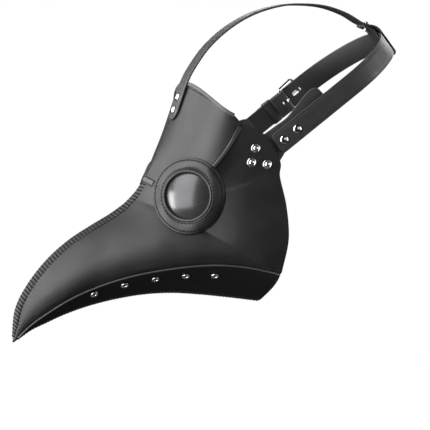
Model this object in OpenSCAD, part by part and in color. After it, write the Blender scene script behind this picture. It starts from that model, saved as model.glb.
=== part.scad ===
/* [Leather] */
// Thickness of the panels
leather_t = 2; // [1.6:0.1:2.4]
// Width of the head straps
strap_w = 22; // [20:1:24]
// Thickness of the straps and tabs
strap_t = 2; // [1.6:0.1:2.2]

/* [Eyes] */
// How far the eye axis turns forward from straight sideways, in degrees
eye_turn = 38; // [34:1:42]
// Outer radius of the dished eye ring
ring_r = 38; // [35:1:39]
// Direction from which the ring's edge looks an even oval, in degrees forward of sideways
view_turn = 19; // [10:1:30]
// Radius of the hole in the panels behind the ring
eye_hole_r = 33; // [31:0.5:33.5]
// Radius of the lens
lens_r = 24.6; // [24:0.1:24.7]
// Radius of the lens dome's sphere
dome_r = 45; // [40:1:60]

/* [Vents] */
// Number of vent eyelets in each gusset
vents = 5; // [3:1:5]
// Outer radius of an eyelet's flange
eyelet_r = 4.1; // [3.6:0.1:4.6]

/* [Rivets] */
// Radius of a rivet cap
cap_r = 4.5; // [4:0.1:4.8]
// Radius of a rivet shank
shank_r = 1.6; // [1.4:0.1:1.8]

/* [Rear strap] */
// Slope of the rear strap's loop above the horizontal, in degrees
strap_slope = 37.5; // [35:0.5:40]
// Height of the loop's middle line above the origin, square to the loop
loop_height = 70; // [68:1:72]
// Where the straight sides of the loop end and its round back starts
loop_turn = 90.6; // [88:0.2:94]

/* [Buckle] */
// Distance of the heel bar along the strap
heel_u = 66; // [64:1:68]
// Distance from the heel bar to the outer bar
frame_l = 20; // [19:1:21]
// Radius of the frame's rod
rod_r = 1.5; // [1.3:0.1:1.6]
// Width of the keeper loop
keeper_w = 9; // [8:1:10]

/* [Hidden] */

// Each rib of the left half runs from the middle line to the edge of the panel.
// Columns: middle x, middle z, edge x, edge z, half width, bend x, bend z, roundness
RIBS = [
    [-302, -142, -300.5, -144, 1.6, 0, 0, 0],
    [-299, -113, -286, -129, 6.5, 0, 0, 0],
    [-286.5, -88.5, -270, -116.5, 12.5, 0, 0, 0],
    [-266, -63.5, -246, -101, 21, 0, 0, 0],
    [-243, -44, -218, -88.5, 29, 0, 0, 0],
    [-218, -28.5, -190, -79.7, 37, 0, 0, 0],
    [-203, -20, -162, -73.8, 45, 0, 0, 0.05],
    [-193, -13.5, -134, -70, 52.5, 0, 0, 0.1],
    [-186, -8.5, -107, -68.6, 58.2, 0, 0, 0.2],
    [-181, -4, -78, -70.8, 62.6, 0, 0, 0.3],
    [-178.5, -1.5, -52, -76, 67, 0, 0, 0.35],
    [-177, 0, -45, -77.5, 69, -1, -1, 0.37],
    [-175.5, 1.5, -42.5, -70, 70.5, -2, -2, 0.39],
    [-173, 4.5, -37.5, -42, 73, -4, -7, 0.42],
    [-170.5, 8, -40.5, -10, 74.5, -6, -15, 0.46],
    [-168.5, 10.5, -47.5, 19, 75, -9, -26, 0.5],
    [-167.2, 12.5, -47.5, 35, 75, -11, -36, 0.55],
    [-166, 14.3, -64, 61, 74.5, -9, -50, 0.6],
    [-165, 16, -87, 71.5, 73.5, -8, -58, 0.65],
    [-159.5, 26, -88, 72.6, 73.3, -7, -46, 0.75],
    [-149, 46, -89.5, 74.3, 73, -5, -29, 0.9],
    [-138, 67, -91, 76, 72.7, -3, -14, 1],
    [-129.3, 91, -92.5, 77.7, 72.4, -1, -5, 1],
    [-121.3, 113, -94, 79.3, 72.1, -3, -9, 1]];
// The keel under the beak, one point for each rib up to the gusset's back edge
KEEL = [[-301, -145.5], [-284, -133.5], [-268, -126], [-246, -116.5], [-220, -108],
    [-192, -101.5], [-163, -97.2], [-135, -96], [-107, -97.5], [-76, -100.5],
    [-50, -103.5], [-43, -104.5]];
// Ribs where the panels meet or end
RIB_BACK = 11;
RIB_SEAM = 18;
RIB_HEM = 23;
// How far past its widest point the beak's side turns in, in degrees, and the rib where that ends
TUCK = 20;
TUCK_END = 12;
// Degrees of the ellipse that a rib covers before any of the side turns in
QUARTER = 90;
// Share of the gusset's section that is an ellipse; the rest is straight
GUSSET_ROUND = 0.65;
// The same for the cheek, in full up to the given rib and none at the forehead's seam
CHEEK_TUCK = 9;
CHEEK_FULL = 10;

// Outline of a temple tab in side view, x and z, clockwise from its front corner
TAB = [[-81, 30], [-79, 52], [-64, 60], [-50, 69.5], [-38, 78], [-24.5, 94],
    [-15, 104.5], [-8, 107.5], [-2.5, 104], [1, 96], [-14, 74], [-34, 52],
    [-46, 34], [-56, 23], [-70, 22]];
// Outline of the right tab, which ends under the chape
TAB_SHORT = [[-81, 30], [-79, 52], [-64, 60], [-50, 69.5], [-40, 76], [-31.5, 77],
    [-25.5, 70], [-21.5, 62.5], [-34, 52], [-46, 34], [-56, 23], [-70, 22]];
// Route of the top strap over the crown, x and z, from the forehead to the back
CROWN = [[-115, 127], [-99, 148.5], [-77, 167.5], [-52, 181.5], [-24, 189.8],
    [0, 191.5], [24, 189.5], [46, 182.5]];
// Places of the temple rivets, x and z
TEMPLE_RIVETS = [[-73, 47], [-77, 33], [-61, 31]];
// Places of the strap rivets along the strap
STRAP_RIVETS = [0, 17.5];
// Ribs at which the forehead rivets sit
FOREHEAD_RIVETS = [21.75, 22.28];

// Layers of the right side, measured sideways from the middle: the tab, the strap on it, the
// billet over that, the buckle's heel bar, and the middle and radius of the loop's round back
tab_y = 68.6;
strap_y = 71.8;
billet_y = strap_y + strap_t / 2 + 0.3 + strap_t / 2;
bar_play = 0.08;
bar_y = strap_y - strap_t / 2 - rod_r - bar_play;
loop_y = (billet_y - strap_y) / 2;
loop_r = (billet_y + strap_y) / 2;
// Front end of the straps' straight sides, the radius of its corners, and the billet's tip
strap_front = -9;
end_corner = 4;
billet_tip = 28;
// Clearance between parts that only pass each other, and between parts that fit
gap = 0.3;
fit = 0.05;
// Size of the billet's oblong holes and where they sit
HOLE_L = 11;
HOLE_W = 4.4;
BILLET_HOLES = [37, 52, 67, 82];
// Prong seen along the heel bar, from its pivot
prong_w = 2.4;
prong_outline = [[0, 2.1], [3.2, 6.6], [9, 9.9], [15, 11.2], [22.5, 11.2], [24.5, 10.6],
    [22.5, 9.7], [15, 9.7], [9.8, 8.4], [5, 5.6], [2.2, 1.4]];

leather = "#3a3a3c";
leather_dark = "#2a2a2c";
metal = "#c8c8cc";
smoked = "#303338";
plastic = "#222224";

// ---- Curves and surfaces ----

// Uniform Catmull-Rom spline through a list of points or rows
function spline(list, s) =
    let (n = len(list) - 1, i = min(max(floor(s), 0), n - 1), f = s - i,
        a = list[max(i - 1, 0)], b = list[i], c = list[i + 1], d = list[min(i + 2, n)])
    0.5 * (2 * b + (c - a) * f + (2 * a - 5 * b + 4 * c - d) * f * f
        + (3 * b - a - 3 * c + d) * f * f * f);

function held(v, low, high) = min(max(v, low), high);

// Point of the left half's skin on rib s, from the middle line (t = 0) to the edge (t = 1)
function skin(s, t) =
    let (r = spline(RIBS, s), x = max(0, 1 - s / TUCK_END),
        y = held((RIB_SEAM - s) / (RIB_SEAM - CHEEK_FULL), 0, 1),
        span = QUARTER + TUCK * x * x * (3 - 2 * x) + CHEEK_TUCK * y * y * (3 - 2 * y),
        e = r[7] * (1 - cos(90 * t)) + (1 - r[7]) * t * (t < 0 ? -1 : 1),
        p = [r[0], r[1]], q = [r[2], r[3]], c = (p + q) / 2 + [r[5], r[6]],
        b = (1 - e) * (1 - e) * p + 2 * e * (1 - e) * c + e * e * q)
    [b[0], -r[4] * sin(span * t) / sin(span), b[1]];

// Point of the left gusset, from the seam (u = 0) to the keel (u = 1)
function floor_skin(s, u) =
    let (r = spline(RIBS, s), k = spline(KEEL, s))
    [r[2] + (k[0] - r[2]) * u, -r[4] * (GUSSET_ROUND * cos(90 * u) + (1 - GUSSET_ROUND) * (1 - u)),
        r[3] + (k[1] - r[3]) * u];

function unit(v) = v / norm(v);

// Outward normals of the two skins
function skin_n(s, t) =
    let (h = 0.01, s0 = max(s - h, 0), s1 = min(s + h, RIB_HEM), t0 = max(t - h, -1),
        t1 = min(t + h, 1))
    unit(cross(skin(s, t1) - skin(s, t0), skin(s1, t) - skin(s0, t)));
function floor_n(s, u) =
    let (h = 0.01, s0 = max(s - h, 0), s1 = min(s + h, RIB_BACK), u0 = max(u - h, 0),
        u1 = min(u + h, 1))
    unit(cross(floor_skin(s, u1) - floor_skin(s, u0), floor_skin(s1, u) - floor_skin(s0, u)));
function in_plane(n) = unit([n[0], 0, n[2]]);
function seam_n(s) = unit(skin_n(s, 1) + floor_n(s, 0));

// Finds the rib and place on it where the skin, seen along an axis, lies at the target. No
// step is longer than one rib or 0.15 of the way across
function find(target, origin, right, up, guess, steps = 9) =
    steps == 0 ? guess :
    let (h = 0.01, s = guess[0], t = guess[1], p = skin(s, t) - origin,
        ds = (skin(s + h, t) - origin - p) / h, dt = (skin(s, t + h) - origin - p) / h,
        a = ds * right, b = dt * right, c = ds * up, d = dt * up,
        f = target[0] - p * right, g = target[1] - p * up, k = a * d - b * c)
    find(target, origin, right, up,
        [held(s + held((f * d - g * b) / k, -1, 1), 0, RIB_HEM),
            held(t + held((a * g - c * f) / k, -0.15, 0.15), 0.02, 1)], steps - 1);

// The same, starting from the nearest of many places spread over the skin round the eye.
// The places: every half rib, and 0.04 of the way across
spread = [for (s = [6:0.5:22.5], t = [0.04:0.04:0.96]) [s, t]];
function seen_spread(origin, right, up) =
    [for (g = spread) let (p = skin(g[0], g[1]) - origin) [p * right, p * up]];
function find_near(target, origin, right, up, seen) =
    let (far = [for (q = seen) norm(q - target)], least = min(far))
    find(target, origin, right, up, spread[[for (i = [0:len(far) - 1]) if (far[i] == least) i][0]]);

// Skin place under a point of the side view
function find_side(x, z, guess) = find([x, z], [0, 0, 0], [1, 0, 0], [0, 0, 1], guess);

// Closed sheet between two grids of points with the same rows and columns
module sheet(outer, inner) {
    rows = len(outer);
    cols = len(outer[0]);
    function top(i, j) = i * cols + j;
    function low(i, j) = rows * cols + i * cols + j;
    faces = concat(
        [for (i = [0:rows - 2], j = [0:cols - 2])
            each [[top(i, j), top(i + 1, j), top(i + 1, j + 1)],
                [top(i, j), top(i + 1, j + 1), top(i, j + 1)],
                [low(i, j), low(i + 1, j + 1), low(i + 1, j)],
                [low(i, j), low(i, j + 1), low(i + 1, j + 1)]]],
        [for (i = [0:rows - 2])
            each [[top(i, 0), low(i, 0), low(i + 1, 0)], [top(i, 0), low(i + 1, 0), top(i + 1, 0)],
                [top(i, cols - 1), low(i + 1, cols - 1), low(i, cols - 1)],
                [top(i, cols - 1), top(i + 1, cols - 1), low(i + 1, cols - 1)]]],
        [for (j = [0:cols - 2])
            each [[top(0, j), low(0, j + 1), low(0, j)], [top(0, j), top(0, j + 1), low(0, j + 1)],
                [top(rows - 1, j), low(rows - 1, j), low(rows - 1, j + 1)],
                [top(rows - 1, j), low(rows - 1, j + 1), top(rows - 1, j + 1)]]]);
    polyhedron(points = concat([for (r = outer) each r], [for (r = inner) each r]),
        faces = faces, convexity = 6);
}

// Ribbon along frames of [point, sideways direction, normal], from height low to high
module ribbon(frames, half_w, low, high) {
    sheet([for (f = frames) [for (v = [-1, 1]) f[0] + f[1] * half_w * v + f[2] * high]],
        [for (f = frames) [for (v = [-1, 1]) f[0] + f[1] * half_w * v + f[2] * low]]);
}

// Frames along a list of points with normals
function frames(points, normals) =
    [for (i = [0:len(points) - 1])
        let (d = unit(points[min(i + 1, len(points) - 1)] - points[max(i - 1, 0)]))
        [points[i], unit(cross(d, normals[i])), normals[i]]];

// Turns local +Z to a direction at a place
module aim(place, n) {
    translate(place)
        rotate([0, acos(n[2]), atan2(n[1], n[0])])
            children();
}

module on_right() {
    mirror([0, 1, 0])
        children();
}

// Cutter for a rivet's shank, through some depth of leather each way
module shank_hole(reach) {
    cylinder(r = shank_r + fit, h = 2 * reach, center = true, $fn = 24);
}

// ---- Panels ----

// Steps along the beak, along the cheek and across a side
BEAK_STEPS = 30;
CHEEK_STEPS = 18;
SIDE_T = 12;
beak_ribs = [for (i = [0:BEAK_STEPS]) RIB_BACK * i / BEAK_STEPS];
cheek_ribs = [for (i = [1:CHEEK_STEPS]) RIB_BACK + (RIB_SEAM - RIB_BACK) * i / CHEEK_STEPS];
// Depth to which a cutter reaches each way through a panel
PANEL_REACH = 6;
// The same behind the eye ring, where the panels curve away
EYE_REACH = 20;
// The eye's middle in side view, x and z, and a rib and place near it
EYE_SEEN = [-133, 0];
EYE_GUESS = [14, 0.45];
TEMPLE_GUESS = [16, 0.85];
eye_place = find_side(EYE_SEEN[0], EYE_SEEN[1], EYE_GUESS);
eye_c = skin(eye_place[0], eye_place[1]);
eye_n = [-sin(eye_turn), -cos(eye_turn), 0];
eye_right = [cos(eye_turn), -sin(eye_turn), 0];
// Sideways direction of a viewer in whose view the ring's edge is an even oval
seen_right = [cos(view_turn), -sin(view_turn), 0];
// The oval's half width
RING_SQUEEZE = 0.942;
ring_wide = ring_r * RING_SQUEEZE;
// Share of the ring's oval at which the strips beside it stop
RING_CLEAR = 1.025;
ring_spread = seen_spread(eye_c, seen_right, [0, 0, 1]);
temple_places = [for (p = TEMPLE_RIVETS) find_side(p[0], p[1], TEMPLE_GUESS)];

// Distance of a place on the skin from the ring's middle, as a share of the ring's oval
function ring_share(s, t) =
    let (p = skin(s, t) - eye_c) norm([p * seen_right / ring_wide, p[2] / ring_r]);

// Where rib s passes under the eye ring's edge, between a place outside it and one inside
function ring_edge(s, out, in, steps = 14) =
    steps == 0 ? out :
    let (mid = (out + in) / 2)
    ring_share(s, mid) > RING_CLEAR ? ring_edge(s, mid, in, steps - 1)
        : ring_edge(s, out, mid, steps - 1);

module at_eye() {
    translate(eye_c)
        rotate([90, 0, -eye_turn])
            children();
}

module eye_hole() {
    at_eye()
        cylinder(r = eye_hole_r, h = 2 * EYE_REACH, center = true, $fn = 64);
}

// The leather is pared thinner towards the beak's tip, and at the seam and the middle plane
// it stays on its own side of the plane that it shares with its neighbour
PARED = 0.9;
// Thickness at the very tip, and how much it gains for each mm of half width
TIP_T = 0.4;
TIP_GAIN = 0.25;
function tip_t(s) = min(leather_t, TIP_T + TIP_GAIN * spline(RIBS, s)[4]);
function pared_t(s, p, n, edge, edge_n) =
    let (c = s < RIB_BACK ? edge_n * seam_n(s) : 1)
    min(tip_t(s), PARED * abs(p[1]) / max(abs(n[1]), 0.01),
        s < RIB_BACK ? PARED * norm(p - edge) * c / sqrt(1 - c * c) : leather_t);
function skin_in(s, t) =
    let (p = skin(s, t), n = skin_n(s, t))
    t == 0 ? p - tip_t(s) * in_plane(n)
        : t == 1 && s < RIB_BACK ? p - tip_t(s) * seam_n(s)
        : p - pared_t(s, p, n, skin(s, 1), skin_n(s, 1)) * n;
function floor_in(s, u) =
    let (r = min(s, RIB_BACK - 0.01), p = floor_skin(s, u), n = floor_n(s, u))
    u == 1 ? p - tip_t(s) * in_plane(n)
        : u == SEAM_U ? p - tip_t(s) * seam_n(r)
        : p - pared_t(r, p, n, floor_skin(s, 0), floor_n(r, 0)) * n;

module side_panel() {
    ribs = concat(beak_ribs, cheek_ribs);
    across = [for (j = [0:SIDE_T]) j / SIDE_T];
    color(leather)
        difference() {
            sheet([for (s = ribs) [for (t = across) skin(s, t)]],
                [for (s = ribs) [for (t = across) skin_in(s, t)]]);
            eye_hole();
            for (p = temple_places)
                aim(skin(p[0], p[1]), skin_n(p[0], p[1]))
                    shank_hole(PANEL_REACH);
        }
}

module forehead_panel() {
    steps = 12;
    ribs = [for (i = [0:steps]) RIB_SEAM + (RIB_HEM - RIB_SEAM) * i / steps];
    across = [for (j = [-SIDE_T:SIDE_T]) j / SIDE_T];
    color(leather)
        difference() {
            sheet([for (s = ribs) [for (t = across) skin(s, t)]],
                [for (s = ribs) [for (t = across) skin(s, t) - leather_t * skin_n(s, t)]]);
            for (s = FOREHEAD_RIVETS)
                aim(skin(s, 0), skin_n(s, 0))
                    shank_hole(PANEL_REACH);
            eye_hole();
            on_right()
                eye_hole();
        }
}

// Rib of the front vent, ribs from one vent to the next, and how far down the gusset they sit
VENT_RIB = 3.82;
VENT_STEP = 1.06;
VENT_U = 0.37;
vent_places = [for (i = [0:vents - 1]) [VENT_RIB + VENT_STEP * i, VENT_U]];
vent_hole_r = 2.6;

// The gusset starts just below the seam
SEAM_U = 0.006;
GUSSET_U = 6;

module beak_gusset() {
    across = concat([SEAM_U], [for (j = [1:GUSSET_U]) j / GUSSET_U]);
    color(leather_dark)
        difference() {
            sheet([for (s = beak_ribs) [for (u = across) floor_skin(s, u)]],
                [for (s = beak_ribs) [for (u = across) floor_in(s, u)]]);
            for (p = vent_places)
                aim(floor_skin(p[0], p[1]), floor_n(p[0], p[1]))
                    cylinder(r = vent_hole_r, h = 2 * PANEL_REACH, center = true, $fn = 24);
        }
}

// Half width of the hem's binding and of the welt over the forehead's seam
band_half_w = 1.9;

// Folded hem in two lengths, one on each side of the top strap
module forehead_binding() {
    start = 0.105;
    end = 0.985;
    rib = RIB_HEM - 0.09;
    low = 0.3;
    high = 1.2;
    for (side = [-1, 1]) {
        across = [for (j = [0:SIDE_T]) side * (start + (end - start) * j / SIDE_T)];
        pts = [for (t = across) skin(rib, t)];
        nrm = [for (t = across) skin_n(rib, t)];
        color(leather)
            ribbon(frames(pts, nrm), band_half_w, low, high);
    }
}

// Bridge strip over the nose between the two eye rings. Its middle line and its sideways
// direction are set in the view in which the rings look even
bridge_from = [-154.5, 16.6];
bridge_to = [-146.2, 12.1];
bridge_half_w = 3.4;

module bridge_strip() {
    low = 0.35;
    high = 1.3;
    steps = 5;
    along = unit(bridge_to - bridge_from);
    seen = seen_spread([0, 0, 0], seen_right, [0, 0, 1]);
    near = [for (i = [0:steps])
        [for (v = [1, 0, -1])
            find_near(bridge_from + (bridge_to - bridge_from) * i / steps
                + [-along[1], along[0]] * bridge_half_w * v, [0, 0, 0], seen_right, [0, 0, 1], seen)]];
    function at(g, h, side) =
        let (p = skin(g[0], g[1]) + h * (g[1] == 0 ? in_plane(skin_n(g[0], 0)) : skin_n(g[0], g[1])))
        [p[0], p[1] * side, p[2]];
    function rows(h) = concat(
        [for (i = [steps:-1:0]) [for (g = near[i]) at(g, h, -1)]],
        [[for (g = near[0]) at([g[0], 0], h, 1)]],
        [for (i = [0:steps]) [for (g = near[i]) at(g, h, 1)]]);
    color(leather)
        sheet(rows(high), rows(low));
}

module seam_welt() {
    end = 0.98;
    steps = 10;
    low = 0.15;
    high = 1.1;
    under_ring = 0.5;
    start = ring_edge(RIB_SEAM, end, under_ring);
    across = [for (j = [0:steps]) start + (end - start) * j / steps];
    pts = [for (t = across) skin(RIB_SEAM, t)];
    nrm = [for (t = across) skin_n(RIB_SEAM, t)];
    color(leather)
        ribbon(frames(pts, nrm), band_half_w, low, high);
}

module gusset_piping() {
    steps = 36;
    front = 0.3;
    back_gap = 0.15;
    half_w = 0.8;
    low = 0.25;
    high = 1.5;
    ribs = [for (i = [1:steps]) front + (RIB_BACK - front - back_gap) * i / steps];
    pts = [for (s = ribs) floor_skin(s, 0)];
    nrm = [for (s = ribs) seam_n(s)];
    color(leather_dark)
        ribbon(frames(pts, nrm), half_w, low, high);
}

// ---- Eyes ----

module eye_ring() {
    sides = 48;
    inner_r = 26.3;
    // Heights over the skin at the outer edge, then over the eye's middle at the inner edge
    outer_low = 0.3;
    outer_top = 1.6;
    inner_top = 6.8;
    inner_low = 5;
    // How quickly the ring rises from its outer edge, and the same towards the nose
    dish = 1.6;
    nose_dish = 1;
    function dish_at(a) = dish - (dish - nose_dish) * pow(max(0, -cos(a)), 0.7);
    shares = [0, 0.2, 0.5, 0.8, 1];
    // Points of the skin under the ring's outer edge, in the eye's axes
    rim = [for (i = [0:sides - 1])
        let (a = 360 * i / sides,
            g = find_near([ring_wide * cos(a), ring_r * sin(a)], eye_c, seen_right, [0, 0, 1],
                ring_spread),
            p = skin(g[0], g[1]) - eye_c)
        [p * eye_right, p[2], p * eye_n]];
    // The ring swells over the brow, where the panels stand higher than its own edge
    swell_mid = 62;
    swell_reach = 56.25;
    swell = 2.2;
    function swell_at(a) = abs(a - swell_mid) > swell_reach ? 0
        : swell * pow(cos(90 / swell_reach * (a - swell_mid)), 2);
    function spot(i, k, low) =
        let (a = 360 * i / sides,
            flat = [rim[i][0], rim[i][1]] * (1 - k) + inner_r * k * [cos(a), sin(a)],
            edge = rim[i][2] + (low ? outer_low : outer_top), inner = low ? inner_low : inner_top,
            h = edge + (inner - edge) * (1 - pow(1 - k, dish_at(a))) + swell_at(a) * sin(180 * k))
        eye_c + eye_right * flat[0] + [0, 0, flat[1]] + eye_n * h;
    points = [for (i = [0:sides - 1])
        each concat([for (k = shares) spot(i, k, false)],
            [for (k = [len(shares) - 1:-1:0]) spot(i, shares[k], true)])];
    n = 2 * len(shares);
    function at(i, j) = (i % sides) * n + j % n;
    color(leather)
        polyhedron(points = points, convexity = 6,
            faces = [for (i = [0:sides - 1], j = [0:n - 1])
                each [[at(i, j), at(i, j + 1), at(i + 1, j + 1)],
                    [at(i, j), at(i + 1, j + 1), at(i + 1, j)]]]);
}

// Rolled leather edge round the lens
module inner_rim() {
    height = 6.1;
    roll_r = 1.4;
    color(leather)
        at_eye()
            translate([0, 0, height])
                rotate_extrude($fn = 96)
                    translate([lens_r + 0.1, 0])
                        circle(r = roll_r, $fn = 32);
}

// Height of the lens's flat edge over the eye's middle, and its thickness
lens_base = 1.8;
lens_t = 1.6;

module lens() {
    drop = sqrt(dome_r * dome_r - lens_r * lens_r);
    color(smoked)
        at_eye()
            translate([0, 0, lens_base - drop])
                intersection() {
                    difference() {
                        sphere(r = dome_r + lens_t, $fn = 128);
                        sphere(r = dome_r, $fn = 128);
                    }
                    translate([0, 0, drop])
                        cylinder(r = lens_r, h = dome_r, $fn = 96);
                }
}

// Flat ring behind the lens
module lens_retainer() {
    depth = 4;
    outer_r = 26.4;
    inner_r = 22.2;
    color(plastic)
        at_eye()
            translate([0, 0, -depth])
                difference() {
                    cylinder(r = outer_r, h = lens_base + depth - fit, $fn = 96);
                    translate([0, 0, -1])
                        cylinder(r = inner_r, h = lens_base + depth + 2, $fn = 96);
                }
}

// ---- Metal ----

// Eyelet with a rolled flange on a short tube
module eyelet() {
    tube_in = 2.1;
    tube_out = 2.5;
    depth = 3.2;
    crest = 1.2;
    rotate_extrude($fn = 48)
        polygon([[tube_in, -depth], [tube_out, -depth], [tube_out, 0.15], [eyelet_r, 0.15],
            [eyelet_r, 0.7], [eyelet_r - 0.7, crest], [tube_out + 0.2, crest], [tube_in, 0.6]]);
}

module vent_eyelets() {
    color(metal)
        for (p = vent_places)
            aim(floor_skin(p[0], p[1]), floor_n(p[0], p[1]))
                eyelet();
}

washer_r = 3.4;
washer_t = 0.9;
// Gap between a rivet's cap or washer and the leather it closes on
rivet_gap = 0.1;

// Rivet cap with a rim, a groove and a dome, on a shank that ends in a washer
module rivet(grip) {
    face = -grip - rivet_gap;
    rotate_extrude($fn = 48)
        polygon([[0, face - washer_t], [washer_r, face - washer_t], [washer_r, face],
            [shank_r, face], [shank_r, rivet_gap], [cap_r, rivet_gap], [cap_r, 0.8],
            [cap_r - 0.7, 1.2], [cap_r - 1.4, 0.9], [cap_r - 1.7, 1.5], [1.8, 2.2], [0, 2.4]]);
}

// Depth from the skin to the tab's inner face, with room for the washer's tilt
function temple_grip(p, n) =
    (washer_r * sqrt(1 - n[1] * n[1]) - p[1] - tab_y + strap_t / 2) / -n[1];

module temple_rivets() {
    color(metal)
        for (p = temple_places)
            aim(skin(p[0], p[1]), skin_n(p[0], p[1]))
                rivet(temple_grip(skin(p[0], p[1]), skin_n(p[0], p[1])));
}

// ---- Straps ----

// Frame of the rear strap's loop: x along the loop, y sideways, z across the width
module loop_frame() {
    rotate([0, -strap_slope, 0])
        translate([0, 0, loop_height])
            children();
}

module tab(outline) {
    n = len(outline);
    ring = concat([outline[n - 1]], outline, [outline[0], outline[1]]);
    smooth = [for (i = [0:n - 1], f = [0:0.25:0.75]) spline(ring, 1 + i + f)];
    difference() {
        translate([0, strap_t / 2 - tab_y, 0])
            rotate([90, 0, 0])
                linear_extrude(strap_t)
                    polygon(smooth);
        for (p = temple_places)
            aim(skin(p[0], p[1]), skin_n(p[0], p[1]))
                shank_hole(2 * PANEL_REACH);
        strap_holes(-1);
    }
}

// Shank holes of the strap rivets on one side
module strap_holes(side) {
    loop_frame()
        for (u = STRAP_RIVETS)
            translate([u, side * strap_y, 0])
                rotate([90, 0, 0])
                    shank_hole(2 * PANEL_REACH);
}

module left_temple_tab() {
    color(leather_dark)
        tab(TAB);
}

module right_temple_tab() {
    color(leather_dark)
        on_right()
            tab(TAB_SHORT);
}

// Straight strap lying in a side plane, with a rounded front end
module flat_strap(from, to, y, corner) {
    translate([0, y + strap_t / 2, 0])
        rotate([90, 0, 0])
            linear_extrude(strap_t) {
                translate([from + corner, -strap_w / 2])
                    square([to - from - corner, strap_w]);
                translate([from, -strap_w / 2 + corner])
                    square([corner, strap_w - 2 * corner]);
                for (v = [-1, 1])
                    translate([from + corner, v * (strap_w / 2 - corner)])
                        circle(r = corner, $fn = 32);
            }
}

module oblong_hole(u, y) {
    translate([u, y, 0])
        rotate([90, 0, 0])
            linear_extrude(8, center = true) {
                square([HOLE_L - HOLE_W, HOLE_W], center = true);
                for (v = [-1, 1])
                    translate([v * (HOLE_L - HOLE_W) / 2, 0])
                        circle(r = HOLE_W / 2, $fn = 24);
            }
}

module rear_strap() {
    color(leather)
        difference() {
            loop_frame() {
                flat_strap(strap_front, loop_turn, -strap_y, end_corner);
                difference() {
                    flat_strap(billet_tip, loop_turn, billet_y, strap_w / 2 - 0.5);
                    for (u = BILLET_HOLES)
                        oblong_hole(u, billet_y);
                }
                translate([loop_turn, loop_y, -strap_w / 2])
                    difference() {
                        cylinder(r = loop_r + strap_t / 2, h = strap_w, $fn = 180);
                        translate([0, 0, -1])
                            cylinder(r = loop_r - strap_t / 2, h = strap_w + 2, $fn = 180);
                        translate([-2 * loop_r, -2 * loop_r, -1])
                            cube([2 * loop_r, 4 * loop_r, strap_w + 2]);
                    }
            }
            strap_holes(-1);
        }
}

// Short strap from the right tab, folded round the buckle's heel bar, with a slot for the prong
module right_chape() {
    r_out = rod_r + bar_play + strap_t;
    turn_back = 14;
    slot_w = prong_w + 1.6;
    slot_from = -5;
    slot_l = 12;
    color(leather)
        difference() {
            loop_frame() {
                flat_strap(strap_front, heel_u, strap_y, end_corner);
                translate([heel_u, bar_y, -strap_w / 2])
                    difference() {
                        cylinder(r = r_out, h = strap_w, $fn = 48);
                        translate([-2 * r_out, -2 * r_out, -1])
                            cube([2 * r_out, 4 * r_out, strap_w + 2]);
                    }
                translate([heel_u - turn_back, bar_y - r_out, -strap_w / 2])
                    cube([turn_back, strap_t, strap_w]);
            }
            loop_frame() {
                translate([heel_u, bar_y, -strap_w])
                    cylinder(r = rod_r + bar_play, h = 2 * strap_w, $fn = 48);
                translate([heel_u + slot_from, bar_y - slot_l / 2, -slot_w / 2])
                    cube([slot_l, slot_l, slot_w]);
            }
            strap_holes(1);
        }
}

module strap_rivet_row(side) {
    color(metal)
        loop_frame()
            for (u = STRAP_RIVETS)
                translate([u, side * (strap_y + strap_t / 2), 0])
                    rotate([side * -90, 0, 0])
                        rivet(strap_y + strap_t / 2 - tab_y + strap_t / 2);
}

// ---- Buckle ----

// From the middle of the frame to its side rods, and from its heel bar up to its outer bar
bar_span = strap_w / 2 + 0.8 + rod_r;
frame_rise = billet_y + strap_t / 2 + gap + rod_r - bar_y;

module rod(a, b, r) {
    d = b - a;
    translate(a)
        rotate([0, acos(d[2] / norm(d)), atan2(d[1], d[0])])
            cylinder(r = r, h = norm(d), $fn = 32);
}

module buckle_frame() {
    end = bar_span + rod_r;
    far = [frame_l, frame_rise, 0];
    color(metal)
        loop_frame()
            translate([heel_u, bar_y, 0]) {
                rod([0, 0, -end], [0, 0, end], rod_r);
                rod(far - [0, 0, end], far + [0, 0, end], rod_r);
                for (v = [-bar_span, bar_span])
                    rod([0, 0, v], far + [0, 0, v], rod_r - 0.1);
            }
}

module buckle_prong() {
    eye_wall = 1.1;
    color(metal)
        loop_frame()
            translate([heel_u, bar_y, 0]) {
                difference() {
                    cylinder(r = rod_r + eye_wall, h = prong_w, center = true, $fn = 32);
                    cylinder(r = rod_r + fit, h = 2 * prong_w, center = true, $fn = 32);
                }
                translate([0, 0, -prong_w / 2])
                    linear_extrude(prong_w)
                        polygon(prong_outline);
            }
}

module keeper_loop() {
    play = 0.35;
    middle = 48;
    wall = 0.8;
    low = strap_y - strap_t / 2 - play;
    high = billet_y + strap_t / 2 + play;
    half = strap_w / 2 + 0.4;
    color(leather_dark)
        loop_frame()
            translate([middle - keeper_w / 2, 0, 0])
                difference() {
                    translate([0, low - wall, -half - wall])
                        cube([keeper_w, high - low + 2 * wall, 2 * (half + wall)]);
                    translate([-1, low, -half])
                        cube([keeper_w + 2, high - low, 2 * half]);
                }
}

// ---- Top strap ----

// Point of the middle plane, along the rear strap's loop and out from it, as x and z
function loop_point(u, n) =
    [u * cos(strap_slope) - (n + loop_height) * sin(strap_slope),
        u * sin(strap_slope) + (n + loop_height) * cos(strap_slope)];

// Where the top strap passes the back of the loop, outside and inside it
ply_gap = 0.2;
loop_back = loop_turn + loop_r;
loop_out = loop_back + strap_t + ply_gap;
// How far the round back of the loop falls away at the top strap's edges
side_fall = loop_r - sqrt(loop_r * loop_r - strap_w * strap_w / 4);
loop_in = loop_back - strap_t - ply_gap - side_fall;
turn_r = (loop_out - loop_in) / 2;
// The strap's middle over the forehead, and the ribs over which it is laid
lift = strap_t / 2 + 0.15;
LAID_RIBS = [21.35, 22.1, 22.9];
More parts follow.
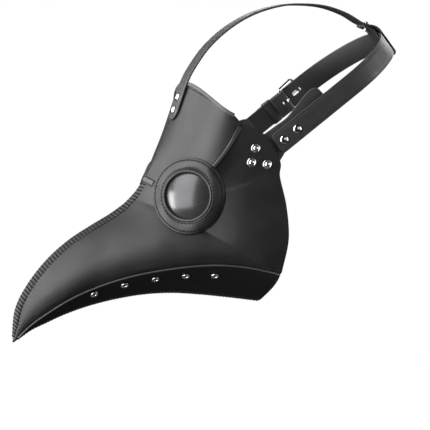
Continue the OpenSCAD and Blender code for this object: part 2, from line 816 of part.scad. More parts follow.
// The route from the forehead to the back of the loop, then from inside the loop to its end
front_route = concat(
    [for (s = LAID_RIBS) let (p = skin(s, 0), n = skin_n(s, 0))
        [p[0] + n[0] * lift, p[2] + n[2] * lift]],
    CROWN,
    [loop_point(155.6, 28.5), loop_point(loop_out - 1.2, 17), loop_point(loop_out, 6),
        loop_point(loop_out, -4)]);
back_route = [loop_point(loop_in, -4), loop_point(loop_in, 6), loop_point(loop_in - 0.9, 17),
    loop_point(154.6, 26.2)];

// Points along a route's spline, some for each stretch
function smooth_line(route, per) =
    [for (i = [0:(len(route) - 1) * per]) spline(route, i / per)];

top_line = concat(smooth_line(front_route, 4),
    [for (a = [0:20:180])
        loop_point(loop_in + turn_r * (1 + cos(a)), -strap_w / 2 - 2 - turn_r * sin(a))],
    smooth_line(back_route, 3));

// Flat band of one thickness along a line in the middle plane
module band(line, width) {
    last = len(line) - 1;
    side = [for (i = [0:last])
        let (d = line[min(i + 1, last)] - line[max(i - 1, 0)])
        [-d[1], d[0]] / norm(d) * strap_t / 2];
    rotate([90, 0, 0])
        linear_extrude(width, center = true)
            polygon(concat([for (i = [0:last]) line[i] + side[i]],
                [for (i = [last:-1:0]) line[i] - side[i]]));
}

// The front end is rounded: below end_z only what a cylinder across it covers is kept
module top_strap() {
    corner_r = strap_w / 2 + 1.5;
    end_z = front_route[0][1] + corner_r;
    far = 300;
    front = -160;
    color(leather)
        difference() {
            intersection() {
                band(top_line, strap_w);
                union() {
                    translate([-far, -strap_w, end_z - corner_r / 3])
                        cube([2 * far, 2 * strap_w, far]);
                    translate([front, 0, end_z])
                        rotate([0, 90, 0])
                            cylinder(r = corner_r, h = corner_r * 5, $fn = 64);
                }
            }
            for (s = FOREHEAD_RIVETS)
                aim(skin(s, 0), skin_n(s, 0))
                    shank_hole(PANEL_REACH);
            loop_rivet_place()
                shank_hole(2 * PANEL_REACH - lift);
        }
}

module forehead_rivets() {
    color(metal)
        for (s = FOREHEAD_RIVETS)
            aim(skin(s, 0) + skin_n(s, 0) * (2 * lift), skin_n(s, 0))
                rivet(2 * lift + leather_t);
}

// Middle of the top strap's outer ply where the rivet closes its rear loop, and its tilt there
LOOP_RIVET = [159.9, 22.9];
LOOP_RIVET_TILT = 9.6;

module loop_rivet_place() {
    p = loop_point(LOOP_RIVET[0], LOOP_RIVET[1]);
    translate([p[0], 0, p[1]])
        rotate([0, LOOP_RIVET_TILT, 0])
            children();
}

// From the middle of the outer ply to the middle of the inner one, along the rivet
ply_step = 2.9;
// Room for the outer ply's curve under the cap and for the inner ply's tilt over the washer
cap_ease = 0.35;
washer_ease = 1;

module top_strap_rivet() {
    color(metal)
        loop_rivet_place()
            translate([0, 0, lift + cap_ease])
                rivet(ply_step + 2 * lift + cap_ease + washer_ease);
}

forehead_panel();
forehead_binding();
bridge_strip();
side_panel();  // left_side_panel
on_right() side_panel();  // right_side_panel
beak_gusset();  // left_beak_gusset
on_right() beak_gusset();  // right_beak_gusset
seam_welt();  // left_seam_welt
on_right() seam_welt();  // right_seam_welt
gusset_piping();  // left_gusset_piping
on_right() gusset_piping();  // right_gusset_piping
eye_ring();  // left_eye_ring
on_right() eye_ring();  // right_eye_ring
inner_rim();  // left_inner_rim
on_right() inner_rim();  // right_inner_rim
lens();  // left_lens
on_right() lens();  // right_lens
lens_retainer();  // left_lens_retainer
on_right() lens_retainer();  // right_lens_retainer
vent_eyelets();  // left_vent_eyelets
on_right() vent_eyelets();  // right_vent_eyelets
left_temple_tab();
right_temple_tab();
temple_rivets();  // left_temple_rivets
on_right() temple_rivets();  // right_temple_rivets
strap_rivet_row(-1);  // left_strap_rivets
strap_rivet_row(1);  // right_strap_rivets
rear_strap();
right_chape();
buckle_frame();
buckle_prong();
keeper_loop();
top_strap();
forehead_rivets();
top_strap_rivet();
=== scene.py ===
import contextlib
import math

import bmesh
import bpy
import numpy as np
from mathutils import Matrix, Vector


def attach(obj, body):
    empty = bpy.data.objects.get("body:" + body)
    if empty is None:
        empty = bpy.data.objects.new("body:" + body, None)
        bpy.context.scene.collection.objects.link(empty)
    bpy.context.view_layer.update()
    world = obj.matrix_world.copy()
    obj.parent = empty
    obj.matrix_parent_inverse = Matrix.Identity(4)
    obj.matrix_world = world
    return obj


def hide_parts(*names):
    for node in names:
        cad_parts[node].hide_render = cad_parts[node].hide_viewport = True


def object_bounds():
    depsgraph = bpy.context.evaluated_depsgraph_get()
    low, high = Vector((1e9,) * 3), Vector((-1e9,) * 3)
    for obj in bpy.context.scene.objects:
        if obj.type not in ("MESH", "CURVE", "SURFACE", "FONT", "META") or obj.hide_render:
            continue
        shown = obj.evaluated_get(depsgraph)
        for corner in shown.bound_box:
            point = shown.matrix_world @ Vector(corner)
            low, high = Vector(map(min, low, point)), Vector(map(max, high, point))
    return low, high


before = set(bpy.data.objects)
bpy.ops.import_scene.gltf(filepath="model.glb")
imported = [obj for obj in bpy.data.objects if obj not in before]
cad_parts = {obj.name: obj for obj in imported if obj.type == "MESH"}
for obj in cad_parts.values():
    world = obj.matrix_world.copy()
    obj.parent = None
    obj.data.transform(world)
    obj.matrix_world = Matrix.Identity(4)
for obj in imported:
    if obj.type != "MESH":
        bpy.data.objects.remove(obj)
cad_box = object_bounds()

# All shapes are worked out in millimetres and turned to metres when a mesh is made.
MM = 0.001

# ---- camera, floor and lights

VIEW_TURN = math.radians(19)  # how far the camera stands forward of square to the side
PICTURE_MM = 430  # what the picture spans at the mask's middle plane
AIM_ACROSS, AIM_UP = -85, -19  # picture's middle, across and above the origin, in mm
CAMERA_AWAY = 10.0
SENSOR_MM = 36
FLOOR_DROP, FLOOR_HALF = 2.2, 12
FLOOR_ROUGH = 0.95
FLOOR_TONE, WORLD_GLOW = 0.12, 0.015  # what the mask sees of them; the camera sees both white
LIGHT_AIM = Vector((-0.1, 0, 0))
# Soft panels of light: place, width, height, power in watts
LIGHTS = {"front_softbox": ((-2.13, -0.95, 0.62), 2.4, 4.4, 185),
          "crown_softbox": ((-0.95, -0.28, 1.95), 1.1, 0.9, 14),
          "front_strip": ((-2.03, 0.24, -0.28), 0.5, 1.1, 34),
          "brow_softbox": ((-1.6, 1.25, 0.82), 1.7, 1.5, 32),
          "side_fill": ((1.2, -2.0, 0.6), 1.5, 1.1, 4),
          "rear_fill": ((1.4, 1.6, 1.2), 1.4, 1.4, 8),
          "back_panel": ((2.2, -0.2, 0.5), 1.8, 1.4, 36),
          "far_panel": ((1.1, 2.0, 0.9), 1.8, 1.4, 26)}


def in_scene(name, data):
    made = bpy.data.objects.new(name, data)
    bpy.context.collection.objects.link(made)
    return made


def aim(thing, place, direction):
    thing.location = place
    thing.rotation_mode = "QUATERNION"
    thing.rotation_quaternion = direction.to_track_quat("-Z", "Y")


def make_camera():
    right = Vector((math.cos(VIEW_TURN), -math.sin(VIEW_TURN), 0))
    back = Vector((-math.sin(VIEW_TURN), -math.cos(VIEW_TURN), 0))
    data = bpy.data.cameras.new("camera")
    data.sensor_width = SENSOR_MM
    data.lens = SENSOR_MM * CAMERA_AWAY / (PICTURE_MM * MM)
    data.clip_end = 5 * CAMERA_AWAY
    camera = in_scene("camera", data)
    middle = right * AIM_ACROSS * MM + Vector((0, 0, AIM_UP * MM))
    aim(camera, middle + back * CAMERA_AWAY, -back)
    bpy.context.scene.camera = camera


def make_studio():
    """Pale floor, plain surroundings and the lights."""
    low, half = cad_box[0].z - FLOOR_DROP, FLOOR_HALF
    corners = [(-half, -half, low), (half, -half, low), (half, half, low), (-half, half, low)]
    mesh = bpy.data.meshes.new("studio_floor")
    mesh.from_pydata(corners, [], [(0, 1, 2, 3)])
    paper = Material("floor_paper")
    surface = paper.add("MixShader", {0: paper.add("LightPath", {}).outputs["Is Camera Ray"],
                                      1: paper.nodes["Principled BSDF"].outputs["BSDF"],
                                      2: paper.add("Emission", {}).outputs["Emission"]})
    paper.fill(paper.nodes["Material Output"], {"Surface": surface.outputs["Shader"]})
    mesh.materials.append(paper.finish({"Base Color": (FLOOR_TONE, FLOOR_TONE, FLOOR_TONE, 1),
                                        "Roughness": FLOOR_ROUGH}))
    in_scene("studio_floor", mesh)

    world = Material("studio", bpy.data.worlds)
    glow = world.add("Mix", {"Factor": world.add("LightPath", {}).outputs["Is Camera Ray"],
                             "A": WORLD_GLOW, "B": 1.0}, data_type="FLOAT").outputs["Result"]
    world.fill(world.nodes["Background"], {"Color": (1, 1, 1, 1), "Strength": glow})
    bpy.context.scene.world = world.mat
    for name, (place, width, height, watts) in LIGHTS.items():
        data = bpy.data.lights.new(name, "AREA")
        data.shape, data.size, data.size_y, data.energy = "RECTANGLE", width, height, watts
        aim(in_scene(name, data), place, LIGHT_AIM - Vector(place))


# ---- the mask's surface

# The ribs of the left half, as in the frame's design. Each runs from the middle line to the
# panel's edge: middle x, middle z, edge x, edge z, half width, bend x, bend z, roundness
RIBS = np.array([
    [-302, -142, -300.5, -144, 1.6, 0, 0, 0],
    [-299, -113, -286, -129, 6.5, 0, 0, 0],
    [-286.5, -88.5, -270, -116.5, 12.5, 0, 0, 0],
    [-266, -63.5, -246, -101, 21, 0, 0, 0],
    [-243, -44, -218, -88.5, 29, 0, 0, 0],
    [-218, -28.5, -190, -79.7, 37, 0, 0, 0],
    [-203, -20, -162, -73.8, 45, 0, 0, 0.05],
    [-193, -13.5, -134, -70, 52.5, 0, 0, 0.1],
    [-186, -8.5, -107, -68.6, 58.2, 0, 0, 0.2],
    [-181, -4, -78, -70.8, 62.6, 0, 0, 0.3],
    [-178.5, -1.5, -52, -76, 67, 0, 0, 0.35],
    [-177, 0, -45, -77.5, 69, -1, -1, 0.37],
    [-175.5, 1.5, -42.5, -70, 70.5, -2, -2, 0.39],
    [-173, 4.5, -37.5, -42, 73, -4, -7, 0.42],
    [-170.5, 8, -40.5, -10, 74.5, -6, -15, 0.46],
    [-168.5, 10.5, -47.5, 19, 75, -9, -26, 0.5],
    [-167.2, 12.5, -47.5, 35, 75, -11, -36, 0.55],
    [-166, 14.3, -64, 61, 74.5, -9, -50, 0.6],
    [-165, 16, -87, 71.5, 73.5, -8, -58, 0.65],
    [-159.5, 26, -88, 72.6, 73.3, -7, -46, 0.75],
    [-149, 46, -89.5, 74.3, 73, -5, -29, 0.9],
    [-138, 67, -91, 76, 72.7, -3, -14, 1],
    [-129.3, 91, -92.5, 77.7, 72.4, -1, -5, 1],
    [-121.3, 113, -94, 79.3, 72.1, -3, -9, 1]])
KEEL = np.array([
    [-301, -145.5], [-284, -133.5], [-268, -126], [-246, -116.5], [-220, -108],
    [-192, -101.5], [-163, -97.2], [-135, -96], [-107, -97.5], [-76, -100.5],
    [-50, -103.5], [-43, -104.5]])
RIB_BACK, RIB_SEAM, RIB_HEM = 11, 18, 23
TUCK, TUCK_END = 20, 12  # the beak's side turns in past its widest point, in degrees
CHEEK_TUCK, CHEEK_FULL = 9, 10  # the same for the cheek: full up to this rib, none at the seam
LEATHER_T = 2.0
NUDGE = 0.01  # step for finding slopes
MOST_RIB, MOST_T = 1, 0.15  # how far a place may move in one step of a search
SEARCH_RIBS, SEARCH_T = np.arange(6, 22.6, 0.25), np.arange(0.04, 0.97, 0.02)
WALK_PARTS = 8
FLOOR_BULGE = 0.65  # how round the gusset is across: 0 is flat


def spline(table, s):
    """Uniform Catmull-Rom spline through the rows of a table."""
    s = np.asarray(s, float)
    last = len(table) - 1
    i = np.clip(np.floor(s).astype(int), 0, last - 1)
    f = (s - i)[..., None]
    a, b = table[np.maximum(i - 1, 0)], table[i]
    c, d = table[i + 1], table[np.minimum(i + 2, last)]
    return 0.5 * (2 * b + (c - a) * f + (2 * a - 5 * b + 4 * c - d) * f ** 2
                  + (3 * b - a - 3 * c + d) * f ** 3)


def smooth(x):
    return x * x * (3 - 2 * x)


def skin(s, t):
    """Point of the left half on rib s, from the middle line (t = 0) to the edge (t = 1)."""
    s, t = np.broadcast_arrays(np.asarray(s, float), np.asarray(t, float))
    r = spline(RIBS, s)
    x = np.maximum(0, 1 - s / TUCK_END)
    y = np.clip((RIB_SEAM - s) / (RIB_SEAM - CHEEK_FULL), 0, 1)
    span = np.radians(90 + TUCK * smooth(x) + CHEEK_TUCK * smooth(y))
    e = r[..., 7] * (1 - np.cos(np.pi / 2 * t)) + (1 - r[..., 7]) * np.abs(t)
    p, q = r[..., 0:2], r[..., 2:4]
    c = (p + q) / 2 + r[..., 5:7]
    e2 = e[..., None]
    b = (1 - e2) ** 2 * p + 2 * e2 * (1 - e2) * c + e2 ** 2 * q
    y = -r[..., 4] * np.sin(span * t) / np.sin(span)
    return np.stack([b[..., 0], y, b[..., 1]], -1)


def floor_skin(s, u):
    """Point of the left gusset, from the seam (u = 0) to the keel (u = 1)."""
    s, u = np.broadcast_arrays(np.asarray(s, float), np.asarray(u, float))
    r, k = spline(RIBS, s), spline(KEEL, s)
    x = r[..., 2] + (k[..., 0] - r[..., 2]) * u
    z = r[..., 3] + (k[..., 1] - r[..., 3]) * u
    y = -r[..., 4] * (FLOOR_BULGE * np.cos(np.pi / 2 * u) + (1 - FLOOR_BULGE) * (1 - u))
    return np.stack([x, y, z], -1)


def unit(v):
    return v / np.linalg.norm(v, axis=-1, keepdims=True)


def lengths(points):
    """Distance of each point of a line from its start, measured along it."""
    return np.concatenate([[0], np.cumsum(np.linalg.norm(np.diff(points, axis=0), axis=-1))])


def dent(x, reach, depth):
    return -depth * np.exp(-(x / reach) ** 2)


def normal(surface, s, t, s_end, t_low=0.0):
    """Outward normal of a surface function by finite differences."""
    h = NUDGE
    s0, s1 = np.maximum(s - h, 0), np.minimum(s + h, s_end)
    t0, t1 = np.maximum(t - h, t_low), np.minimum(t + h, 1)
    return unit(np.cross(surface(s, t1) - surface(s, t0), surface(s1, t) - surface(s0, t)))


def skin_n(s, t):
    return normal(skin, s, t, RIB_HEM, -1)


def floor_n(s, u):
    return normal(floor_skin, s, u, RIB_BACK)


def slopes(s, t):
    """A place's point on the skin, and how the point moves with rib and place."""
    p = skin(s, t)
    return p, (skin(s + NUDGE, t) - p) / NUDGE, (skin(s, t + NUDGE) - p) / NUDGE


def find(target, origin, right, up, guess, steps):
    """Rib and place where the skin, seen along an axis, lies at each target, by Newton's method."""
    s, t = guess
    for _ in range(steps):
        p, ds, dt = slopes(s, t)
        p = p - origin
        a, b, c, d = ds @ right, dt @ right, ds @ up, dt @ up
        f, g = target[..., 0] - p @ right, target[..., 1] - p @ up
        k = a * d - b * c
        s = np.clip(s + np.clip((f * d - g * b) / k, -MOST_RIB, MOST_RIB), 0, RIB_HEM)
        t = np.clip(t + np.clip((a * g - c * f) / k, -MOST_T, MOST_T), 0.02, 1)
    return s, t


def find_near(target, origin, right, up):
    """The same, starting for each target from the nearest of many places spread over the skin."""
    s, t = [v.ravel() for v in np.meshgrid(SEARCH_RIBS, SEARCH_T)]
    p = skin(s, t) - origin
    seen = np.stack([p @ right, p @ up], -1)
    best = np.linalg.norm(target[:, None] - seen[None], axis=-1).argmin(1)
    return find(target, origin, right, up, (s[best], t[best]), 8)


def walk(s, t, step):
    """Moves places along the skin by a step in millimetres, taken in small parts."""
    w = step / WALK_PARTS
    for _ in range(WALK_PARTS):
        _, ds, dt = slopes(s, t)
        a, b, c = (ds * ds).sum(-1), (ds * dt).sum(-1), (dt * dt).sum(-1)
        f, g = (ds * w).sum(-1), (dt * w).sum(-1)
        k = a * c - b * b
        s = np.clip(s + (f * c - g * b) / k, 0, RIB_HEM)
        t = np.clip(t + (g * a - f * b) / k, -1, 1)
    return s, t


# ---- making meshes

SHARP = 50  # edges that turn by more than this many degrees count as sharp
SAME_POINT = 1e-6
MIRROR = np.array([1, -1, 1])
THREAD_SIDES, THREAD_END = 6, 0.55
THREAD_SIDEWAYS = np.array([0.13, 0.27, 0.95])  # no thread runs this way


def turn(count):
    """Angles spread evenly over a full turn."""
    return 2 * np.pi * np.arange(count) / count


def new_piece(name, points_mm, faces, material, body="mask"):
    mesh = bpy.data.meshes.new(name)
    mesh.from_pydata([tuple(p) for p in np.asarray(points_mm) * MM], [], faces)
    mesh.validate()
    mesh.update()
    mesh.shade_smooth()
    piece = in_scene(name, mesh)
    mesh.materials.append(material)
    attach(piece, body)
    return piece


def flipped(points):
    """Points of the right half, from points of the left half."""
    return np.asarray(points) * MIRROR


def grid_faces(rows, cols, close_rows=False, close_cols=False, start=0):
    faces = []
    for i in range(rows if close_rows else rows - 1):
        for j in range(cols if close_cols else cols - 1):
            a, b = i % rows * cols, (i + 1) % rows * cols
            j1 = (j + 1) % cols
            faces.append((start + a + j, start + b + j, start + b + j1, start + a + j1))
    return faces


class Shape:
    """Gathers points and faces of a piece that is made of many small closed parts."""

    def __init__(self):
        self.points = []
        self.faces = []

    def add(self, points, faces):
        start = len(self.points)
        self.points.extend(np.asarray(points).reshape(-1, 3).tolist())
        self.faces.extend([tuple(start + v for v in f) for f in faces])

    def grid(self, grid, close_rows=False, close_cols=False, caps=False):
        """A grid of points; caps closes both ends of a tube."""
        rows, cols = grid.shape[:2]
        faces = grid_faces(rows, cols, close_rows, close_cols)
        if caps:
            faces.append(tuple(range(cols)))
            faces.append(tuple((rows - 1) * cols + j for j in reversed(range(cols))))
        self.add(grid, faces)

    def tube(self, line, radius):
        """A thread along a line, thinner at its two ends."""
        line = np.asarray(line, float)
        d = unit(np.gradient(line, axis=0))
        a = unit(np.cross(d, THREAD_SIDEWAYS))
        b = np.cross(d, a)
        angle = turn(THREAD_SIDES)
        r = np.full(len(line), radius)
        r[0] = r[-1] = radius * THREAD_END
        ring = np.cos(angle)[:, None] * a[:, None] + np.sin(angle)[:, None] * b[:, None]
        self.grid(line[:, None] + ring * r[:, None, None], close_cols=True, caps=True)

    def lathe(self, profile, place, axis, sides=40):
        """A turned part: profile is (radius, height) from the axis round and back to it."""
        axis = unit(np.asarray(axis, float))
        ref = UP if abs(axis[2]) < 0.9 else X_AXIS
        a = unit(np.cross(axis, ref))
        b = np.cross(axis, a)
        angle = turn(sides)
        around = np.cos(angle)[:, None] * a + np.sin(angle)[:, None] * b
        prof = np.asarray(profile, float)
        grid = (np.asarray(place)[None, None] + around[:, None] * prof[None, :, :1]
                + axis * prof[None, :, 1:])
        self.grid(grid, close_rows=True, close_cols=prof[0, 0] > 0)

    def make(self, name, material, node=None, body="mask", sharp=None):
        """The finished piece. It stands for a CAD node, and keeps edges sharp past an angle."""
        piece = new_piece(name, self.points, self.faces, material, body)
        clean(piece)
        if sharp:
            piece.data.set_sharp_from_angle(angle=math.radians(sharp))
        if node:
            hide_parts(node)
        return piece


@contextlib.contextmanager
def edited(piece):
    """Opens a piece's mesh for a change, then turns the faces outwards and puts it back."""
    bm = bmesh.new()
    bm.from_mesh(piece.data)
    yield bm
    bmesh.ops.recalc_face_normals(bm, faces=bm.faces)
    bm.to_mesh(piece.data)
    bm.free()
    piece.data.shade_smooth()


def clean(piece):
    """Joins points that coincide."""
    with edited(piece) as bm:
        bmesh.ops.remove_doubles(bm, verts=bm.verts, dist=SAME_POINT)


def grid_piece(grid, name, material, node, body="mask", sharp=None, ring=False):
    """A piece from one grid of points: a tube with capped ends, or closed both ways as a ring."""
    shape = Shape()
    shape.grid(grid, close_rows=ring, close_cols=True, caps=not ring)
    return shape.make(name, material, node, body, sharp)


def round_edges(piece, width_mm):
    bevel = piece.modifiers.new("rounded edges", "BEVEL")
    bevel.width = width_mm * MM
    bevel.segments = 2
    bevel.limit_method = "ANGLE"
    bevel.angle_limit = math.radians(SHARP)
    bevel.harden_normals = False
    piece.modifiers.new("even shading", "WEIGHTED_NORMAL").keep_sharp = True


# ---- materials


class Material:
    """A material's or a world's nodes. Values are numbers or other nodes' outputs."""

    def __init__(self, name, family=bpy.data.materials):
        self.mat = family.new(name)
        self.mat.use_nodes = True
        self.nodes, self.links = self.mat.node_tree.nodes, self.mat.node_tree.links
        self.place = self.nodes.new("ShaderNodeTexCoord").outputs["Object"]

    def fill(self, node, values):
        for key, value in values.items():
            if isinstance(value, bpy.types.NodeSocket):
                self.links.new(value, node.inputs[key])
            else:
                node.inputs[key].default_value = value
        return node

    def add(self, kind, values, **settings):
        node = self.nodes.new("ShaderNode" + kind)
        for key, value in settings.items():
            setattr(node, key, value)
        return self.fill(node, values)

    def noise(self, scale, detail=2.0, distortion=0.0, output="Fac"):
        return self.add("TexNoise", {"Vector": self.place, "Scale": scale, "Detail": detail,
                                     "Distortion": distortion}).outputs[output]

    def remap(self, value, to_low, to_high, low=0.0, high=1.0):
        return self.add("MapRange", {"Value": value, "From Min": low, "From Max": high,
                                     "To Min": to_low, "To Max": to_high}).outputs["Result"]

    def maths(self, kind, a, b):
        return self.add("Math", {0: a, 1: b}, operation=kind).outputs["Value"]

    def ramp(self, value, dark, light, low=0.0, high=1.0):
        node = self.add("ValToRGB", {"Fac": value})
        for stop, position, colour in zip(node.color_ramp.elements, (low, high), (dark, light)):
            stop.position = position
            stop.color = (*colour, 1)
        return node.outputs["Color"]

    def bump(self, height, strength, distance_mm):
        return self.add("Bump", {"Height": height, "Strength": strength,
                                 "Distance": distance_mm * MM}).outputs["Normal"]

    def finish(self, values):
        self.fill(self.nodes["Principled BSDF"], values)
        return self.mat


def leather(name, tone, rough, grain_mm, relief, crease=0.35, glance=0.5):
    """Satin faux leather: pebbled grain, fine pores, soft tone changes, and edges painted lighter:
    part wear, part painted edge highlight.
    """
    m = Material(name)
    grain_m = grain_mm * MM
    warp = m.noise(0.4 / grain_m, output="Color")
    warped = m.add("VectorMath", {0: warp, 1: (grain_m * 0.8,) * 3, 2: m.place},
                   operation="MULTIPLY_ADD").outputs["Vector"]
    cells = m.add("TexVoronoi", {"Scale": 1 / grain_m, "Vector": warped},
                  feature="DISTANCE_TO_EDGE").outputs["Distance"]
    grain = m.remap(cells, 0.0, 1.0, high=0.12)
    pores = m.noise(1 / (grain_m * 0.35))
    folds = m.noise(38, 4, 0.6)
    fine = m.maths("ADD", m.maths("MULTIPLY", pores, 0.35), m.maths("MULTIPLY", folds, crease))
    height = m.maths("ADD", m.maths("MULTIPLY", grain, 0.6), fine)
    cloudy = m.ramp(m.noise(26, 4), (tone * 0.82, tone * 0.82, tone * 0.85),
                    (tone * 1.2, tone * 1.2, tone * 1.22), 0.3, 0.72)
    # Pointed edges are painted lighter: partly wear, partly a painted highlight along the edges
    edges = m.add("NewGeometry", {}).outputs["Pointiness"]
    worn_and_highlit_edges = m.remap(edges, 0.0, 0.55, 0.53, 0.62)
    colour = m.add("Mix", {"Factor": worn_and_highlit_edges, "A": cloudy, "B": (tone * 3.2, tone * 3.1, tone * 3, 1)},
                   data_type="RGBA").outputs["Result"]
    patches = m.remap(m.noise(60, 5), rough - 0.05, rough + 0.06, 0.3, 0.7)
    shine = m.maths("ADD", patches, m.remap(grain, 0.06, 0.0))
    return m.finish({"Base Color": colour, "Roughness": shine, "Specular IOR Level": glance,
                     "Normal": m.bump(height, relief, 0.22)})


def nickel_plate():
    """Bright nickel with faint polishing haze and tiny scratches."""
    m = Material("bright_nickel")
    haze = m.noise(900, 4)
    tint = m.ramp(haze, (0.66, 0.66, 0.67), (0.86, 0.86, 0.87))
    return m.finish({"Metallic": 1, "Base Color": tint, "Roughness": m.remap(haze, 0.08, 0.2),
                     "Normal": m.bump(haze, 0.05, 0.05)})


def lens_plastic():
    """Glossy smoked acrylic, mirrored a little, with faint smears."""
    m = Material("smoked_acrylic")
    smear = m.noise(55, 3)
    tint = m.ramp(smear, (0.033, 0.033, 0.035), (0.06, 0.06, 0.062))
    return m.finish({"Metallic": 0.5, "Specular IOR Level": 0.25, "Coat Weight": 0.3,
                     "Coat Roughness": 0.18, "Base Color": tint,
                     "Roughness": m.remap(smear, 0.2, 0.32)})


def simple(name, tone, rough, scale, relief):
    """Thread or moulded plastic: dark, with a fine noise in tone, gloss and relief."""
    m = Material(name)
    fibre = m.noise(scale, 3)
    tint = m.ramp(fibre, (tone * 0.6,) * 3, (tone * 1.5,) * 3)
    return m.finish({"Base Color": tint, "Specular IOR Level": 0.25,
                     "Roughness": m.remap(fibre, rough - 0.08, rough + 0.08),
                     "Normal": m.bump(fibre, relief, 0.1)})


# Leather: tone, roughness, size of the grain in mm, relief
PANEL = leather("grained_panel_leather", 0.004, 0.37, 0.9, 0.5)
# The gusset's leather is darker and reflects less than the panels': painted shade of the beak's
# underside
GUSSET = leather("grained_gusset_leather_painted_shade", 0.0025, 0.55, 0.9, 0.5, glance=0.25)
RING = leather("grained_ring_leather", 0.014, 0.47, 0.9, 0.5)
BAND = leather("grained_band_leather", 0.04, 0.42, 0.9, 0.5)
# The straps' leather is given a lighter tone that stands in for fill light on them: painted light
STRAP = leather("grained_strap_leather_painted_light", 0.022, 0.42, 0.75, 0.45, 0.2)
# Thread and plastic: tone, roughness, fineness, relief
THREAD = simple("black_thread", 0.003, 0.85, 2500, 0.6)
NICKEL = nickel_plate()
LENS = lens_plastic()
PLASTIC = simple("moulded_plastic", 0.012, 0.5, 1200, 0.2)

# ---- eyes' places

EYE_TURN = math.radians(38)
RING_INNER_R, EYE_HOLE_R = 26.3, 33.0
EYE_N = np.array([-math.sin(EYE_TURN), -math.cos(EYE_TURN), 0])
EYE_RIGHT = np.array([math.cos(EYE_TURN), -math.sin(EYE_TURN), 0])
UP = np.array([0, 0, 1.0])
SEEN_RIGHT = np.array([math.cos(VIEW_TURN), -math.sin(VIEW_TURN), 0])
RING_WIDE, RING_TALL = 35.8, 38.0  # half sizes of the ring's outline as the camera sees it
X_AXIS = np.array([1.0, 0, 0])
IN_PLANE = np.array([1, 0, 1])  # drops what leads out of the middle plane


def find_side(x, z, guess):
    s, t = find(np.array([[x, z]], float), np.zeros(3), X_AXIS, UP,
                (np.array([guess[0]], float), np.array([guess[1]], float)), 9)
    return float(s[0]), float(t[0])


EYE_SEEN, EYE_GUESS = (-133, 0), (14, 0.45)
EYE_C = skin(*find_side(*EYE_SEEN, EYE_GUESS))
SIDES = (("left", -1), ("right", 1))


def on_side(points, side):
    return np.asarray(points) if side < 0 else flipped(points)


def eye_dist(points):
    p = points - EYE_C
    return np.hypot(p @ EYE_RIGHT, p[..., 2])


def ring_share(points):
    """Distance from the ring's middle as a share of its outline, as the camera sees it."""
    p = points - EYE_C
    return np.hypot(p @ SEEN_RIGHT / RING_WIDE, p[..., 2] / RING_TALL)


# ---- leather panels

RIDGE_PINCH, RIDGE_REACH = 0.45, 3.0
EDGE_SWELL, SWELL_AT, SWELL_REACH = 0.2, 5, 3.5
CALM_EDGE, CALM_RIDGE, CALM_TIP = 6, 8, 1.5  # the waves die out towards these


def relief(s, t):
    """Small swells of the leather, in mm: soft waves, and pinches along the stitched ridge."""
    p = skin(s, t)
    x, z = p[..., 0], p[..., 2]
    waves = 0.35 * np.sin(x / 17 + z / 29 + 1.3) * np.sin(z / 21 - x / 43 + 0.4)
    waves += 0.18 * np.sin(x / 7.3 - z / 9.1) * np.sin(x / 23 + z / 12)
    spread = np.linalg.norm(skin(s, np.ones_like(t)) - skin(s, np.zeros_like(t)), axis=-1)
    from_ridge, from_edge = np.abs(t) * spread, (1 - np.abs(t)) * spread
    waves = waves * np.clip(from_ridge / CALM_RIDGE, 0, 1) * np.clip(from_edge / CALM_EDGE, 0, 1)
    stitched = np.clip((RIB_SEAM - 0.3 - s) * 4, 0, 1)
    pinch = dent(from_ridge, RIDGE_REACH, RIDGE_PINCH) * stitched
    beside_gusset = np.clip((RIB_BACK - s) * 2, 0, 1)
    swell = dent(from_edge - SWELL_AT, SWELL_REACH, -EDGE_SWELL) * beside_gusset
    return (waves + pinch + swell) * np.clip(s / CALM_TIP, 0.15, 1)


def shell(outer, inner):
    """Closed sheet between two grids of the same size."""
    rows, cols = outer.shape[:2]
    n = rows * cols
    faces = grid_faces(rows, cols) + [tuple(reversed(f)) for f in grid_faces(rows, cols, start=n)]
    for i in range(rows - 1):
        a, b = i * cols, (i + 1) * cols
        faces.append((a, n + a, n + b, b))
        a, b = a + cols - 1, b + cols - 1
        faces.append((a, b, n + b, n + a))
    for j in range(cols - 1):
        faces.append((j, j + 1, n + j + 1, n + j))
        a = (rows - 1) * cols + j
        faces.append((a, n + a, n + a + 1, a + 1))
    return np.concatenate([outer.reshape(-1, 3), inner.reshape(-1, 3)]), faces


EYE_DEPTH = 40  # keeps the other eye's side of the mask out of the cut
PANEL_ROUND, GUSSET_ROUND = 0.45, 0.4  # how far the leather's edges are rounded


def cut_eye(points, faces, side):
    """Leaves out the faces behind the eye ring's opening and rounds the hole that they leave."""
    p = points if side < 0 else flipped(points)
    near = np.abs((p - EYE_C) @ EYE_N) < EYE_DEPTH
    inside = (eye_dist(p) < EYE_HOLE_R) & near
    kept = [f for f in faces if not any(inside[v] for v in f)]
    dropped = [f for f in faces if any(inside[v] for v in f)]
    rim = {v for f in dropped for v in f if not inside[v]} & {v for f in kept for v in f}
    p = p.copy()
    for v in rim:
        q = p[v] - EYE_C
        flat = q - (q @ EYE_N) * EYE_N
        p[v] = EYE_C + (q @ EYE_N) * EYE_N + unit(flat) * EYE_HOLE_R
    used = sorted({v for f in kept for v in f})
    index = {v: i for i, v in enumerate(used)}
    p = p if side < 0 else flipped(p)
    return p[used], [tuple(index[v] for v in f) for f in kept]


def finish_panel(name, points, faces):
    """A panel's piece, its outer and inner sheets joined round the eye hole."""
    piece = new_piece(name + "_leather", points, faces, PANEL)
    with edited(piece) as bm:
        bmesh.ops.bridge_loops(bm, edges=[e for e in bm.edges if e.is_boundary])
    round_edges(piece, PANEL_ROUND)
    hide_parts(name)


